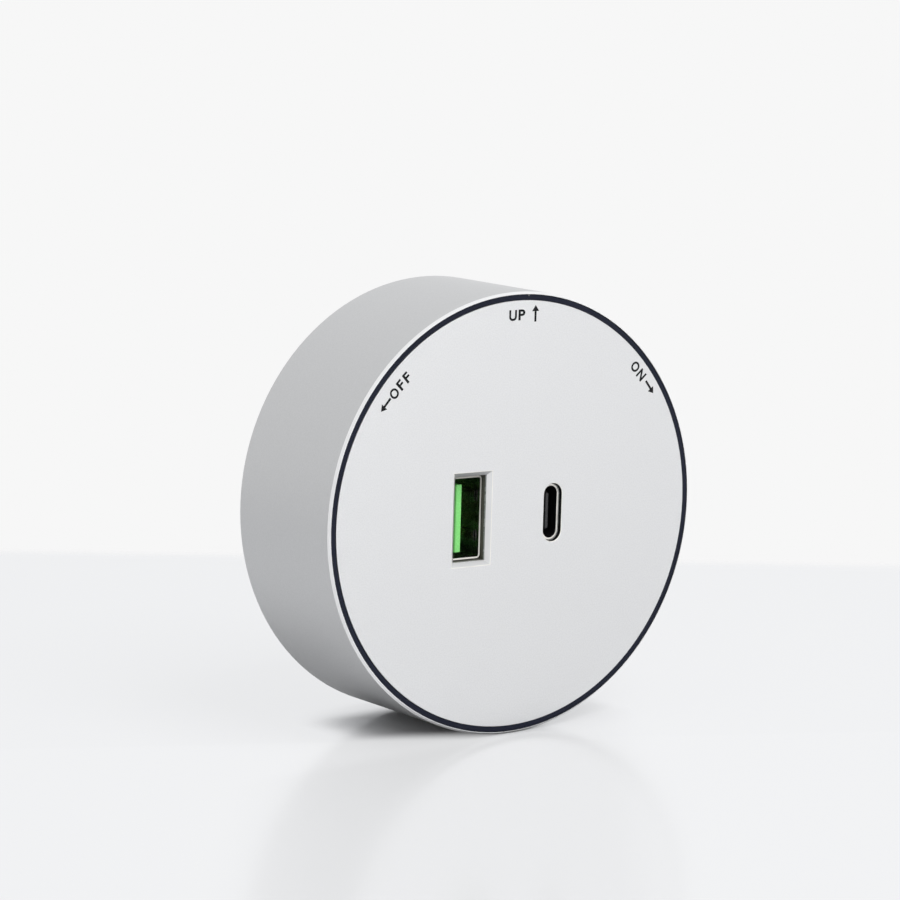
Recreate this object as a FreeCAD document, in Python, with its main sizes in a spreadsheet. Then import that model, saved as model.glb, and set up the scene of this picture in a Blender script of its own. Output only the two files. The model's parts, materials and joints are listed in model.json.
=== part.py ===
import FreeCAD, Part
import math
import os
import re
import Sketcher
from FreeCAD import Placement, Rotation, Vector

# Driving dimensions in millimetres and degrees.
# X points right seen from the front, Y to the back and Z up. Y = 0 is the seat on the track.
SIZES = {
    # metal shell
    "shell_radius": 35.0,
    "shell_depth": 25.2,
    "shell_wall": 1.2,
    "shell_rim": 0.38,
    "rim_chamfer": 0.3,
    "rim_chamfer_depth": 0.45,
    "rear_rim": 0.7,
    "rear_chamfer": 0.3,
    "seat_gap": 1.0,
    # front housing and face
    "fit_gap": 0.05,
    "ring_width": 0.85,
    "ring_drop": 0.1,
    "face_thickness": 0.8,
    "tape_thickness": 0.2,
    "tape_margin": 0.8,
    "front_wall": 2.4,
    "housing_wall": 1.5,
    "clamp_gap": 0.1,
    "boss_gap": 1.05,
    "boss_radius": 3.0,
    # rear cover
    "cover_thickness": 2.0,
    "cover_recess": 1.8,
    "cover_screw_radius": 1.1,
    "cover_head_radius": 2.0,
    "cover_head_height": 1.2,
    "cover_screw_length": 12.0,
    # USB-A receptacle
    "usb_a_x": -8.28,
    "usb_a_z": -0.15,
    "usb_a_width": 5.7,
    "usb_a_height": 13.1,
    "usb_a_wall": 0.3,
    "usb_a_corner": 0.6,
    "usb_a_drop": 1.65,
    "usb_a_bevel_land": 0.1,
    "usb_a_tongue_gap": 0.38,
    "usb_a_tongue_thickness": 1.84,
    "usb_a_tongue_height": 11.1,
    "usb_a_tongue_drop": 2.5,
    "usb_a_base_depth": 2.4,
    "usb_a_inner_pitch": 2.0,
    "usb_a_outer_pitch": 7.0,
    "usb_a_contact_width": 1.2,
    "usb_a_contact_thickness": 0.25,
    "usb_a_contact_setback": 0.8,
    # USB-C receptacle
    "usb_c_x": 7.37,
    "usb_c_z": -0.18,
    "usb_c_width": 3.2,
    "usb_c_height": 8.94,
    "usb_c_wall": 0.31,
    "usb_c_drop": 0.75,
    "usb_c_tongue_thickness": 0.7,
    "usb_c_tongue_height": 6.69,
    "usb_c_tongue_drop": 1.5,
    "usb_c_base_depth": 4.0,
    "usb_c_contacts_per_side": 12,
    "usb_c_pitch": 0.5,
    "usb_c_contact_width": 0.25,
    "usb_c_contact_thickness": 0.08,
    "usb_c_contact_setback": 0.6,
    "usb_c_plate_thickness": 0.15,
    "usb_c_plate_height": 5.6,
    "usb_c_plate_setback": 0.3,
    "port_gap": 0.16,
    "leg_width": 1.2,
    "tail_length": 0.7,
    # board behind the ports
    "board_spacing": 4.4,
    "port_board_thickness": 1.2,
    "port_board_width": 26.0,
    "port_board_height": 24.0,
    "post_x": 10.6,
    "post_z": 9.6,
    "post_radius": 2.0,
    "post_screw_radius": 0.8,
    "post_head_radius": 1.5,
    "post_head_height": 0.9,
    "post_screw_length": 6.0,
    "port_chip_size": 4.0,
    "port_chip_height": 0.9,
    "port_chip_x": 5.0,
    "port_chip_z": 9.0,
    "header_width": 7.6,
    "header_height": 2.5,
    "header_z": -9.0,
    "header_pin": 0.6,
    "header_pitch": 2.54,
    # mains board
    "board_gap": 1.2,
    "board_clearance": 0.7,
    "power_board_thickness": 1.6,
    "tall_clearance": 1.9,
    "transformer_inset": 10.1,
    "core_width": 14.0,
    "core_thickness": 5.0,
    "core_leg": 4.0,
    "core_side": 2.3,
    "bobbin_foot": 2.4,
    "bobbin_wall": 0.5,
    "bobbin_length": 10.6,
    "coil_thickness": 1.9,
    "bulk_inset": 9.5,
    "bulk_z": 6.0,
    "bulk_radius": 4.5,
    "output_inset": 13.3,
    "output_z": 7.6,
    "output_radius": 3.15,
    "output_height": 11.0,
    "inductor_inset": 7.9,
    "inductor_radius": 3.5,
    "inductor_waist": 2.2,
    "inductor_height": 5.6,
    "inductor_flange": 1.1,
    "inductor_margin": 0.35,
    "x_capacitor_x": 7.4,
    "x_capacitor_inset": 11.1,
    "x_capacitor_width": 12.6,
    "x_capacitor_thickness": 6.0,
    "x_capacitor_height": 11.0,
    "choke_x": -8.6,
    "choke_inset": 10.9,
    "choke_outer": 5.4,
    "choke_inner": 3.0,
    "choke_height": 5.0,
    "choke_wire": 0.8,
    "choke_turn_angle": 130.0,
    "disc_radius": 3.6,
    "disc_thickness": 3.4,
    "disc_x": 12.4,
    "disc_inset": 11.1,
    "fuse_x": 2.4,
    "fuse_inset": 4.1,
    "fuse_radius": 1.8,
    "fuse_length": 9.6,
    "bridge_x": -7.8,
    "bridge_z": 4.6,
    "bridge_width": 8.4,
    "bridge_depth": 6.4,
    "bridge_height": 2.5,
    "chip_x": 8.2,
    "chip_z": -4.2,
    "chip_width": 5.0,
    "chip_depth": 6.0,
    "chip_height": 1.7,
    "coupler_x": 6.2,
    "coupler_z": 4.4,
    "coupler_width": 4.6,
    "coupler_depth": 6.4,
    "coupler_height": 2.6,
    "sheet_thickness": 0.3,
    "sheet_clearance": 1.25,
    # rear key that turns in the track
    "hub_radius": 10.0,
    "neck_radius": 5.2,
    "neck_bore": 3.5,
    "blade_start": 4.6,
    "blade_depth": 10.8,
    "blade_length": 28.0,
    "blade_width": 10.4,
    "blade_corner": 2.0,
    "key_wall": 1.2,
    "key_cover_thickness": 1.2,
    "key_screw_circle": 7.0,
    "key_screw_radius": 0.9,
    "key_head_radius": 1.7,
    "key_head_height": 1.0,
    "key_screw_length": 2.9,
    "contact_reach": 0.3,
    "contact_height": 5.0,
    "contact_depth": 6.0,
    "contact_flange": 0.8,
    "contact_lip": 0.7,
    "earth_width": 7.0,
    "earth_height": 3.0,
    "lead_radius": 0.65,
    "lead_spacing": 1.7,
    "lead_height": 0.9,
    "earth_lead_z": -1.9,
    "lead_bend": 4.0,
    "lead_end": 0.7,
    # guide plate that stays still in the track
    "plate_gap": 0.3,
    "plate_clearance": 1.1,
    "pad_proud": 0.4,
    "pad_thickness": 1.0,
    "pad_width": 7.0,
    "pad_margin": 3.7,
    "hub_gap": 0.08,
    "washer_width": 5.0,
    "washer_thickness": 0.6,
    "washer_recess": 0.5,
    "clip_groove": 0.7,
    "clip_reach": 1.6,
    "clip_thickness": 0.8,
    "clip_gap": 0.1,
    "clip_opening": 4.0,
    "clip_pocket_gap": 1.0,
    "clip_pocket_depth": 1.0,
    "stop_circle": 18.4,
    "stop_radius": 1.0,
    "stop_gap": 0.15,
    "stop_depth": 1.4,
    "twist_angle": 90.0,
    "rib_setback": 0.1,
    "rib_length": 7.4,
    "rib_width": 10.4,
    "rib_height": 2.6,
    "rib_corner": 1.0,
}

document = FreeCAD.newDocument("desk_socket")
sheet = document.addObject("Spreadsheet::Sheet", "sizes")
for row, (name, size) in enumerate(SIZES.items(), 1):
    sheet.set(f"A{row}", name)
    sheet.set(f"B{row}", str(size))
    sheet.setAlias(f"B{row}", name)
document.recompute()
sub_parts = {}


def prefixed(formula):
    """The formula with each size written the way an expression reads it, as sizes.NAME."""
    def word(match):
        return "sizes." + match.group() if match.group() in SIZES else match.group()
    return re.sub(r"[a-z][a-z_]*", word, str(formula))


def number(formula):
    return float(sheet.evalExpression(prefixed(formula)))


def bind(piece, field, formula):
    piece.setExpression(field, prefixed(formula))


def around(centre, size):
    """The two ends of a length that is centred on a place."""
    return f"({centre}) - ({size}) / 2", f"({centre}) + ({size}) / 2"


def keep(name, piece):
    """Name a finished sub-part; its label names its file."""
    piece.Label = name
    sub_parts[name] = piece
    return piece


# Planes along Y, front to back
def behind(depth):
    return f"({depth} - shell_depth - seat_gap)"


FRONT = behind("0")
FACE_BACK = behind("face_thickness")
WALL_FRONT = behind("face_thickness + tape_thickness")
WALL_BACK = behind("face_thickness + tape_thickness + front_wall")
COVER_BACK = "(-seat_gap - cover_recess)"
COVER_FRONT = f"({COVER_BACK} - cover_thickness)"
BOARD_BACK = f"({COVER_FRONT} - board_gap)"
BOARD_FRONT = f"({BOARD_BACK} - power_board_thickness)"
PORT_BOARD_BACK = f"({BOARD_FRONT} - board_spacing)"
PORT_BOARD_FRONT = f"({PORT_BOARD_BACK} - port_board_thickness)"
TALL_HEIGHT = f"({BOARD_FRONT} - {WALL_BACK} - tall_clearance)"
COVER_SCREW_TIP = f"({COVER_BACK} - cover_head_height - cover_screw_length)"
POST_SCREW_TIP = f"({PORT_BOARD_BACK} - post_screw_length)"
KEY_SCREW_TIP = f"({COVER_FRONT} + key_head_height + key_screw_length)"
PLATE_FRONT = f"({COVER_BACK} + plate_gap)"
PLATE_BACK = "(-pad_proud)"
CLIP_FRONT = f"({PLATE_BACK} - clip_pocket_depth + clip_gap)"
BLADE_BACK = "(blade_start + blade_depth)"
KEY_BACK = f"({BLADE_BACK} + key_cover_thickness)"
KEY_MIDDLE = f"((blade_start + {BLADE_BACK}) / 2)"

# Radii that more than one piece takes
RIM_BORE = "(shell_radius - shell_rim)"
SHELL_BORE = "(shell_radius - shell_wall)"
REAR_BORE = "(shell_radius - rear_rim)"
RING_OUTER = f"({RIM_BORE} - fit_gap)"
RING_INNER = f"({RING_OUTER} - ring_width)"
HOUSING_OUTER = f"({SHELL_BORE} - fit_gap)"
HOUSING_INNER = f"({HOUSING_OUTER} - housing_wall)"
BOSS_CIRCLE = f"({HOUSING_INNER} - boss_gap - boss_radius)"
BOARD_RADIUS = f"({HOUSING_INNER} - board_clearance)"
PLATE_RADIUS = f"({REAR_BORE} - plate_clearance)"
PAD_OUTER = f"({PLATE_RADIUS} - pad_margin)"
PAD_INNER = f"({PAD_OUTER} - pad_width)"
WASHER_OUTER = "(hub_radius + washer_width)"
CLIP_INNER = "(hub_radius - clip_groove)"
CLIP_OUTER = "(hub_radius + clip_reach)"
CLIP_POCKET = f"({CLIP_OUTER} + clip_pocket_gap)"
RIB_START = f"({CLIP_POCKET} + rib_setback)"
RIB_END = f"({RIB_START} + rib_length)"


# Sketches and features
def sketch_at(body, name, role, y=None):
    """A sketch on one of the body's own planes; y moves one on XZ_Plane to that place."""
    sketch = body.newObject("Sketcher::SketchObject", name)
    plane = next(item for item in body.Origin.OriginFeatures if item.Role == role)
    sketch.AttachmentSupport = [(plane, "")]
    sketch.MapMode = "FlatFace"
    if y is not None:
        bind(sketch, "AttachmentOffset.Base.z", f"-({y})")
    return sketch


def limit(sketch, kind, where, formula):
    """Add a constraint whose value follows a formula."""
    index = sketch.addConstraint(Sketcher.Constraint(kind, *where, number(formula)))
    bind(sketch, f"Constraints[{index}]", formula)


def pin_point(sketch, geometry, vertex, across, up):
    limit(sketch, "DistanceX", (-1, 1, geometry, vertex), across)
    limit(sketch, "DistanceY", (-1, 1, geometry, vertex), up)


def polygon(sketch, points):
    places = [Vector(number(across), number(up), 0) for across, up in points]
    count = len(places)
    for index in range(count):
        sketch.addGeometry(Part.LineSegment(places[index], places[(index + 1) % count]), False)
    for index in range(count):
        sketch.addConstraint(Sketcher.Constraint("Coincident", index, 2, (index + 1) % count, 1))
    for index, (across, up) in enumerate(points):
        pin_point(sketch, index, 1, across, up)


def circle(sketch, across, up, radius):
    middle = Vector(number(across), number(up), 0)
    index = sketch.addGeometry(Part.Circle(middle, Vector(0, 0, 1), number(radius)), False)
    pin_point(sketch, index, 3, across, up)
    limit(sketch, "Radius", (index,), radius)


def arc(sketch, across, up, radius, start, end):
    """An arc from one angle to the next, in degrees, with its centre and radius bound."""
    whole = Part.Circle(Vector(number(across), number(up), 0), Vector(0, 0, 1), number(radius))
    piece = Part.ArcOfCircle(whole, math.radians(start), math.radians(end))
    index = sketch.addGeometry(piece, False)
    pin_point(sketch, index, 3, across, up)
    limit(sketch, "Radius", (index,), radius)
    return index


def round_loop(sketch, corners, radius):
    """Arcs about the corner centres, joined by tangent lines: a rounded box or a stadium."""
    turn = 360 / len(corners)
    arcs = []
    for place, (across, up) in enumerate(corners):
        start = 180 + place * turn
        arcs.append(arc(sketch, across, up, radius, start, start + turn))
    for place, index in enumerate(arcs):
        following = arcs[(place + 1) % len(arcs)]
        ends = [sketch.Geometry[index].EndPoint, sketch.Geometry[following].StartPoint]
        line = sketch.addGeometry(Part.LineSegment(*ends), False)
        sketch.addConstraint(Sketcher.Constraint("Tangent", index, 2, line, 1))
        sketch.addConstraint(Sketcher.Constraint("Tangent", line, 2, following, 1))


def rounded_box(sketch, across, up, width, height, radius):
    left, right = around(across, f"{width} - 2 * ({radius})")
    low, high = around(up, f"{height} - 2 * ({radius})")
    round_loop(sketch, [(left, low), (right, low), (right, high), (left, high)], radius)


def stadium(sketch, across, up, width, height):
    """A slot that stands upright, as wide as its round ends."""
    low, high = around(up, f"{height} - ({width})")
    round_loop(sketch, [(across, low), (across, high)], f"({width}) / 2")


def turned(body, name, points):
    """Turn an outline of radius and Y about the Y axis."""
    sketch = sketch_at(body, name + "_outline", "XY_Plane")
    polygon(sketch, points)
    feature = body.newObject("PartDesign::Revolution", name)
    feature.Profile = sketch
    feature.ReferenceAxis = (sketch, ["V_Axis"])
    feature.Angle = 360
    return feature


def disc(body, name, radius, y, bore="0"):
    low, high = y
    return turned(body, name, [(bore, low), (radius, low), (radius, high), (bore, high)])


def raised(body, sketch, name, length):
    """Pad a sketch towards the back."""
    feature = body.newObject("PartDesign::Pad", name)
    feature.Profile = sketch
    feature.Reversed = True
    bind(feature, "Length", length)
    return feature


def sunk(body, sketch, name, length):
    """Cut a sketch towards the back."""
    feature = body.newObject("PartDesign::Pocket", name)
    feature.Profile = sketch
    bind(feature, "Length", length)
    return feature


def patterned(body, features, name, count, sketch):
    """Repeat features evenly about the Y axis."""
    feature = body.newObject("PartDesign::PolarPattern", name)
    feature.Originals = features
    feature.Axis = (sketch, ["N_Axis"])
    feature.Angle = 360
    feature.Occurrences = count
    body.Tip = feature
    return feature


# Simple solids
ALONG = {
    "x": Rotation(Vector(0, 1, 0), 90),
    "y": Rotation(Vector(1, 0, 0), -90),
}


def block(name, x, y, z):
    """A box between two places along each axis."""
    piece = document.addObject("Part::Box", name)
    for side, axis, (low, high) in (("Length", "x", x), ("Width", "y", y), ("Height", "z", z)):
        bind(piece, side, f"({high}) - ({low})")
        bind(piece, "Placement.Base." + axis, low)
    return piece


def rod(name, axis, radius, span, first, second):
    """A cylinder along X or Y. first and second are its other two places, in XYZ order."""
    piece = document.addObject("Part::Cylinder", name)
    piece.Placement = Placement(Vector(0, 0, 0), ALONG[axis])
    low, high = span
    places = [first, second]
    places.insert("xyz".index(axis), low)
    bind(piece, "Radius", radius)
    bind(piece, "Height", f"({high}) - ({low})")
    for direction, place in zip("xyz", places):
        bind(piece, "Placement.Base." + direction, place)
    return piece


def joined(name, pieces):
    fused = document.addObject("Part::MultiFuse", name)
    fused.Shapes = pieces
    fused.Refine = True
    return fused


def grouped(name, pieces):
    """Separate solids that share one node."""
    together = document.addObject("Part::Compound", name)
    together.Links = pieces
    return together


def without(name, base, tools):
    """The base less what its tools fill."""
    piece = document.addObject("Part::Cut", name)
    piece.Base = base
    piece.Tool = tools[0] if len(tools) == 1 else grouped(name + "_tools", tools)
    return piece


# Places of the screws, the leads and the stop
CORNERS = [45, 135, 225, 315]
KEY_SCREW_ANGLES = [90, 210, 330]
LEAD_PLACES = {
    "live_lead": ("-lead_spacing", "lead_height"),
    "neutral_lead": ("lead_spacing", "lead_height"),
    "earth_lead": ("0", "earth_lead_z"),
}
STOP_PLACE = ("-stop_circle * sin(twist_angle / 2)", "stop_circle * cos(twist_angle / 2)")
TOUCHING = 0.001


def on_circle(circle_radius, angle):
    return f"{circle_radius} * cos({angle})", f"{circle_radius} * sin({angle})"


def make_outer_shell():
    """Turned tube with a step at each end: the housing seats in front, the cover behind."""
    body = document.addObject("PartDesign::Body", "outer_shell")
    turned(body, "tube", [
        (RIM_BORE, FRONT),
        ("shell_radius - rim_chamfer", FRONT),
        ("shell_radius", f"{FRONT} + rim_chamfer_depth"),
        ("shell_radius", "-seat_gap - rear_chamfer"),
        ("shell_radius - rear_chamfer", "-seat_gap"),
        (REAR_BORE, "-seat_gap"),
        (REAR_BORE, COVER_FRONT),
        (SHELL_BORE, COVER_FRONT),
        (SHELL_BORE, WALL_BACK),
        (RIM_BORE, WALL_BACK),
    ])
    return keep("outer_shell", body)


def usb_a_outline(sketch, gap):
    rounded_box(sketch, "usb_a_x", "usb_a_z", f"usb_a_width + 2 * {gap}",
                f"usb_a_height + 2 * {gap}", f"usb_a_corner + {gap}")


def usb_c_outline(sketch, gap):
    stadium(sketch, "usb_c_x", "usb_c_z", f"usb_c_width + 2 * {gap}", f"usb_c_height + 2 * {gap}")


def cut_windows(body, front, length):
    """Both port windows through a flat layer: a sharp-cornered one and a round-ended one."""
    left, right = around("usb_a_x", "usb_a_width + 2 * port_gap")
    low, high = around("usb_a_z", "usb_a_height + 2 * port_gap")
    square = sketch_at(body, "usb_a_window", "XZ_Plane", front)
    polygon(square, [(left, low), (right, low), (right, high), (left, high)])
    sunk(body, square, "usb_a_opening", length)
    slot = sketch_at(body, "usb_c_window", "XZ_Plane", front)
    usb_c_outline(slot, "port_gap")
    sunk(body, slot, "usb_c_opening", length)


def make_front_housing():
    """Moulded cup: its rim is the dark ring, its floor carries the face and the port board."""
    body = document.addObject("PartDesign::Body", "front_housing")
    turned(body, "cup", [
        ("0", WALL_FRONT),
        (RING_INNER, WALL_FRONT),
        (RING_INNER, f"{FRONT} + ring_drop"),
        (RING_OUTER, f"{FRONT} + ring_drop"),
        (RING_OUTER, WALL_BACK),
        (HOUSING_OUTER, WALL_BACK),
        (HOUSING_OUTER, f"{COVER_FRONT} - clamp_gap"),
        (HOUSING_INNER, f"{COVER_FRONT} - clamp_gap"),
        (HOUSING_INNER, WALL_BACK),
        ("0", WALL_BACK),
    ])
    cut_windows(body, WALL_FRONT, "front_wall")
    bosses = sketch_at(body, "boss_outline", "XZ_Plane", WALL_BACK)
    circle(bosses, *on_circle(BOSS_CIRCLE, CORNERS[0]), "boss_radius")
    boss = raised(body, bosses, "boss", f"{BOARD_FRONT} - {WALL_BACK}")
    boss_end = sketch_at(body, "boss_hole_outline", "XZ_Plane", COVER_SCREW_TIP)
    circle(boss_end, *on_circle(BOSS_CIRCLE, CORNERS[0]), "cover_screw_radius")
    boss_hole = sunk(body, boss_end, "boss_hole", f"{BOARD_FRONT} - {COVER_SCREW_TIP}")
    patterned(body, [boss, boss_hole], "bosses", len(CORNERS), bosses)
    for across in ("-post_x", "post_x"):
        for up in ("-post_z", "post_z"):
            post = sketch_at(body, "post_outline", "XZ_Plane", WALL_BACK)
            circle(post, across, up, "post_radius")
            raised(body, post, "post", f"{PORT_BOARD_FRONT} - {WALL_BACK}")
            hole = sketch_at(body, "post_hole_outline", "XZ_Plane", POST_SCREW_TIP)
            circle(hole, across, up, "post_screw_radius")
            sunk(body, hole, "post_hole", f"{PORT_BOARD_FRONT} - {POST_SCREW_TIP}")
    return keep("front_housing", body)


def make_face_plate():
    """Anodised disc with the bevelled window of one port and the round-ended one of the other."""
    body = document.addObject("PartDesign::Body", "face_plate")
    disc(body, "plate", f"{RING_INNER} - fit_gap", (FRONT, FACE_BACK))
    cut_windows(body, FRONT, "face_thickness")
    document.recompute()
    cut = body.Tip
    left, right = (number(place) for place in around("usb_a_x", "2 * usb_a_width"))
    bevelled = []
    for index, edge in enumerate(cut.Shape.Edges, 1):
        box = edge.BoundBox
        on_front = box.YMax < number(FRONT) + TOUCHING
        if on_front and left < box.XMin and box.XMax < right:
            bevelled.append(f"Edge{index}")
    bevel = body.newObject("PartDesign::Chamfer", "bevel")
    bevel.Base = (cut, bevelled)
    bind(bevel, "Size", "face_thickness - usb_a_bevel_land")
    return keep("face_plate", body)


def make_face_adhesive():
    body = document.addObject("PartDesign::Body", "face_adhesive")
    disc(body, "tape", f"{RING_INNER} - tape_margin", (FACE_BACK, WALL_FRONT))
    cut_windows(body, FACE_BACK, "tape_thickness")
    return keep("face_adhesive", body)


def receptacle_shell(port, outline, wall):
    """Drawn steel shell of a port with four legs through the port board."""
    front = behind(port + "_drop")
    body = document.addObject("PartDesign::Body", port + "_tube")
    outside = sketch_at(body, "outline", "XZ_Plane", front)
    outline(outside, "0")
    raised(body, outside, "tube", f"{PORT_BOARD_FRONT} - {front}")
    inside = sketch_at(body, "hollow_outline", "XZ_Plane", front)
    outline(inside, f"(-{wall})")
    sunk(body, inside, "hollow", f"{PORT_BOARD_FRONT} - {front}")
    pieces = [body]
    left, right = around(port + "_x", port + "_width")
    leg_y = (PORT_BOARD_FRONT, f"{PORT_BOARD_BACK} + tail_length")
    for x in ((left, f"{left} + {wall}"), (f"{right} - {wall}", right)):
        for side in "-+":
            leg_z = around(f"{port}_z {side} {port}_height / 4", "leg_width")
            pieces.append(block(port + "_leg", x, leg_y, leg_z))
    return keep(port + "_shell", joined(port + "_shell", pieces))


def receptacle_tongue(port, tongue_x, base_x, base_height, inserts):
    """Moulded tongue and the base behind it, cut where metal inserts pass."""
    tongue = block(port + "_blade", tongue_x, (behind(port + "_tongue_drop"), PORT_BOARD_FRONT),
                   around(port + "_z", port + "_tongue_height"))
    base = block(port + "_base", base_x, (f"{PORT_BOARD_FRONT} - {port}_base_depth", PORT_BOARD_FRONT),
                 around(port + "_z", base_height))
    moulding = joined(port + "_moulding", [tongue, base])
    return keep(port + "_tongue", without(port + "_tongue", moulding, inserts))


def make_usb_a():
    """Receptacle of the left port, with four contacts on the right of its tongue."""
    shell = receptacle_shell("usb_a", usb_a_outline, "usb_a_wall")
    inner_left, inner_right = around("usb_a_x", "usb_a_width - 2 * usb_a_wall")
    tongue_left = f"({inner_left} + usb_a_tongue_gap)"
    tongue_right = f"({tongue_left} + usb_a_tongue_thickness)"
    contact_x = (tongue_right, f"{tongue_right} + usb_a_contact_thickness")
    contact_y = (f"{behind('usb_a_tongue_drop')} + usb_a_contact_setback", f"{PORT_BOARD_BACK} + tail_length")
    contacts = []
    for pitch in ("usb_a_outer_pitch", "usb_a_inner_pitch"):
        for side in "-+":
            contact_z = around(f"usb_a_z {side} {pitch} / 2", "usb_a_contact_width")
            contacts.append(block("usb_a_contact", contact_x, contact_y, contact_z))
    contacts = keep("usb_a_contacts", grouped("usb_a_contacts", contacts))
    receptacle_tongue("usb_a", (tongue_left, tongue_right), (inner_left, inner_right),
                      "usb_a_height - 2 * usb_a_corner", [contacts])
    return [shell, contacts]


def make_usb_c():
    """Receptacle of the right port, with contacts on both sides of its thin tongue."""
    shell = receptacle_shell("usb_c", usb_c_outline, "usb_c_wall")
    tip = behind("usb_c_tongue_drop")
    tongue_x = around("usb_c_x", "usb_c_tongue_thickness")
    left, right = tongue_x
    contact_y = (f"{tip} + usb_c_contact_setback", PORT_BOARD_FRONT)
    contacts = []
    for count in range(int(number("usb_c_contacts_per_side"))):
        place = f"usb_c_z + ({count} - (usb_c_contacts_per_side - 1) / 2) * usb_c_pitch"
        contact_z = around(place, "usb_c_contact_width")
        for contact_x in ((f"{left} - usb_c_contact_thickness", left),
                          (right, f"{right} + usb_c_contact_thickness")):
            contacts.append(block("usb_c_contact", contact_x, contact_y, contact_z))
    contacts = keep("usb_c_contacts", grouped("usb_c_contacts", contacts))
    plate = keep("usb_c_mid_plate", block(
        "usb_c_mid_plate", around("usb_c_x", "usb_c_plate_thickness"),
        (f"{tip} + usb_c_plate_setback", PORT_BOARD_FRONT), around("usb_c_z", "usb_c_plate_height")))
    receptacle_tongue("usb_c", tongue_x, around("usb_c_x", "usb_c_width - 2 * usb_c_wall"),
                      "usb_c_height - usb_c_width", [contacts, plate])
    return [shell]


def screw(name, place, shank, head, shank_radius, head_radius):
    """One screw along Y: a shank and a head, each with its span."""
    return joined(name, [rod(name + "_shank", "y", shank_radius, shank, *place),
                         rod(name + "_head", "y", head_radius, head, *place)])


def make_port_board(through):
    """Small board that carries both receptacles on the housing's four posts."""
    x = around("0", "port_board_width")
    z = around("0", "port_board_height")
    board = block("port_board_blank", x, (PORT_BOARD_FRONT, PORT_BOARD_BACK), z)
    screws = []
    for across in ("-post_x", "post_x"):
        for up in ("-post_z", "post_z"):
            screws.append(screw("board_screw", (across, up), (POST_SCREW_TIP, PORT_BOARD_BACK),
                                (PORT_BOARD_BACK, f"{PORT_BOARD_BACK} + post_head_height"),
                                "post_screw_radius", "post_head_radius"))
    screws = keep("board_screws", grouped("board_screws", screws))
    keep("port_board", without("port_board", board, through + [screws, make_header()]))
    chips = []
    for across in ("-port_chip_x", "port_chip_x"):
        chips.append(block("port_chip", around(across, "port_chip_size"),
                           (PORT_BOARD_BACK, f"{PORT_BOARD_BACK} + port_chip_height"),
                           around("port_chip_z", "port_chip_size")))
    keep("port_chips", grouped("port_chips", chips))


def make_header():
    """Pin header between the boards and the socket that it plugs into."""
    middle = f"(({PORT_BOARD_BACK}) + ({BOARD_FRONT})) / 2"
    x = around("0", "header_width")
    z = around("header_z", "header_height")
    pins = []
    for place in ("-header_pitch", "0", "header_pitch"):
        pins.append(block("header_pin", around(place, "header_pin"),
                          (PORT_BOARD_FRONT, f"{BOARD_FRONT} - header_pin"),
                          around("header_z", "header_pin")))
    pins = keep("header_pins", grouped("header_pins", pins))
    plug = block("header_plug", x, (PORT_BOARD_BACK, middle), z)
    socket = block("header_nest", x, (middle, BOARD_FRONT), z)
    keep("board_header", without("board_header", plug, [pins]))
    keep("header_socket", without("header_socket", socket, [pins]))
    return pins


def make_power_board():
    """Round mains board held between the housing's bosses and the cover's."""
    body = document.addObject("PartDesign::Body", "power_board")
    disc(body, "laminate", BOARD_RADIUS, (BOARD_FRONT, BOARD_BACK))
    holes = sketch_at(body, "screw_hole_outline", "XZ_Plane", BOARD_FRONT)
    circle(holes, *on_circle(BOSS_CIRCLE, CORNERS[0]), "cover_screw_radius")
    hole = sunk(body, holes, "screw_hole", "power_board_thickness")
    patterned(body, [hole], "screw_holes", len(CORNERS), holes)
    leads = sketch_at(body, "lead_hole_outline", "XZ_Plane", BOARD_FRONT)
    for across, up in LEAD_PLACES.values():
        circle(leads, across, up, "lead_radius")
    sunk(body, leads, "lead_holes", "power_board_thickness")
    return keep("power_board", body)


def on_board(height, lift="0"):
    """The span of something that stands on the mains board's front."""
    return f"{BOARD_FRONT} - ({lift}) - ({height})", f"{BOARD_FRONT} - ({lift})"


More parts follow.
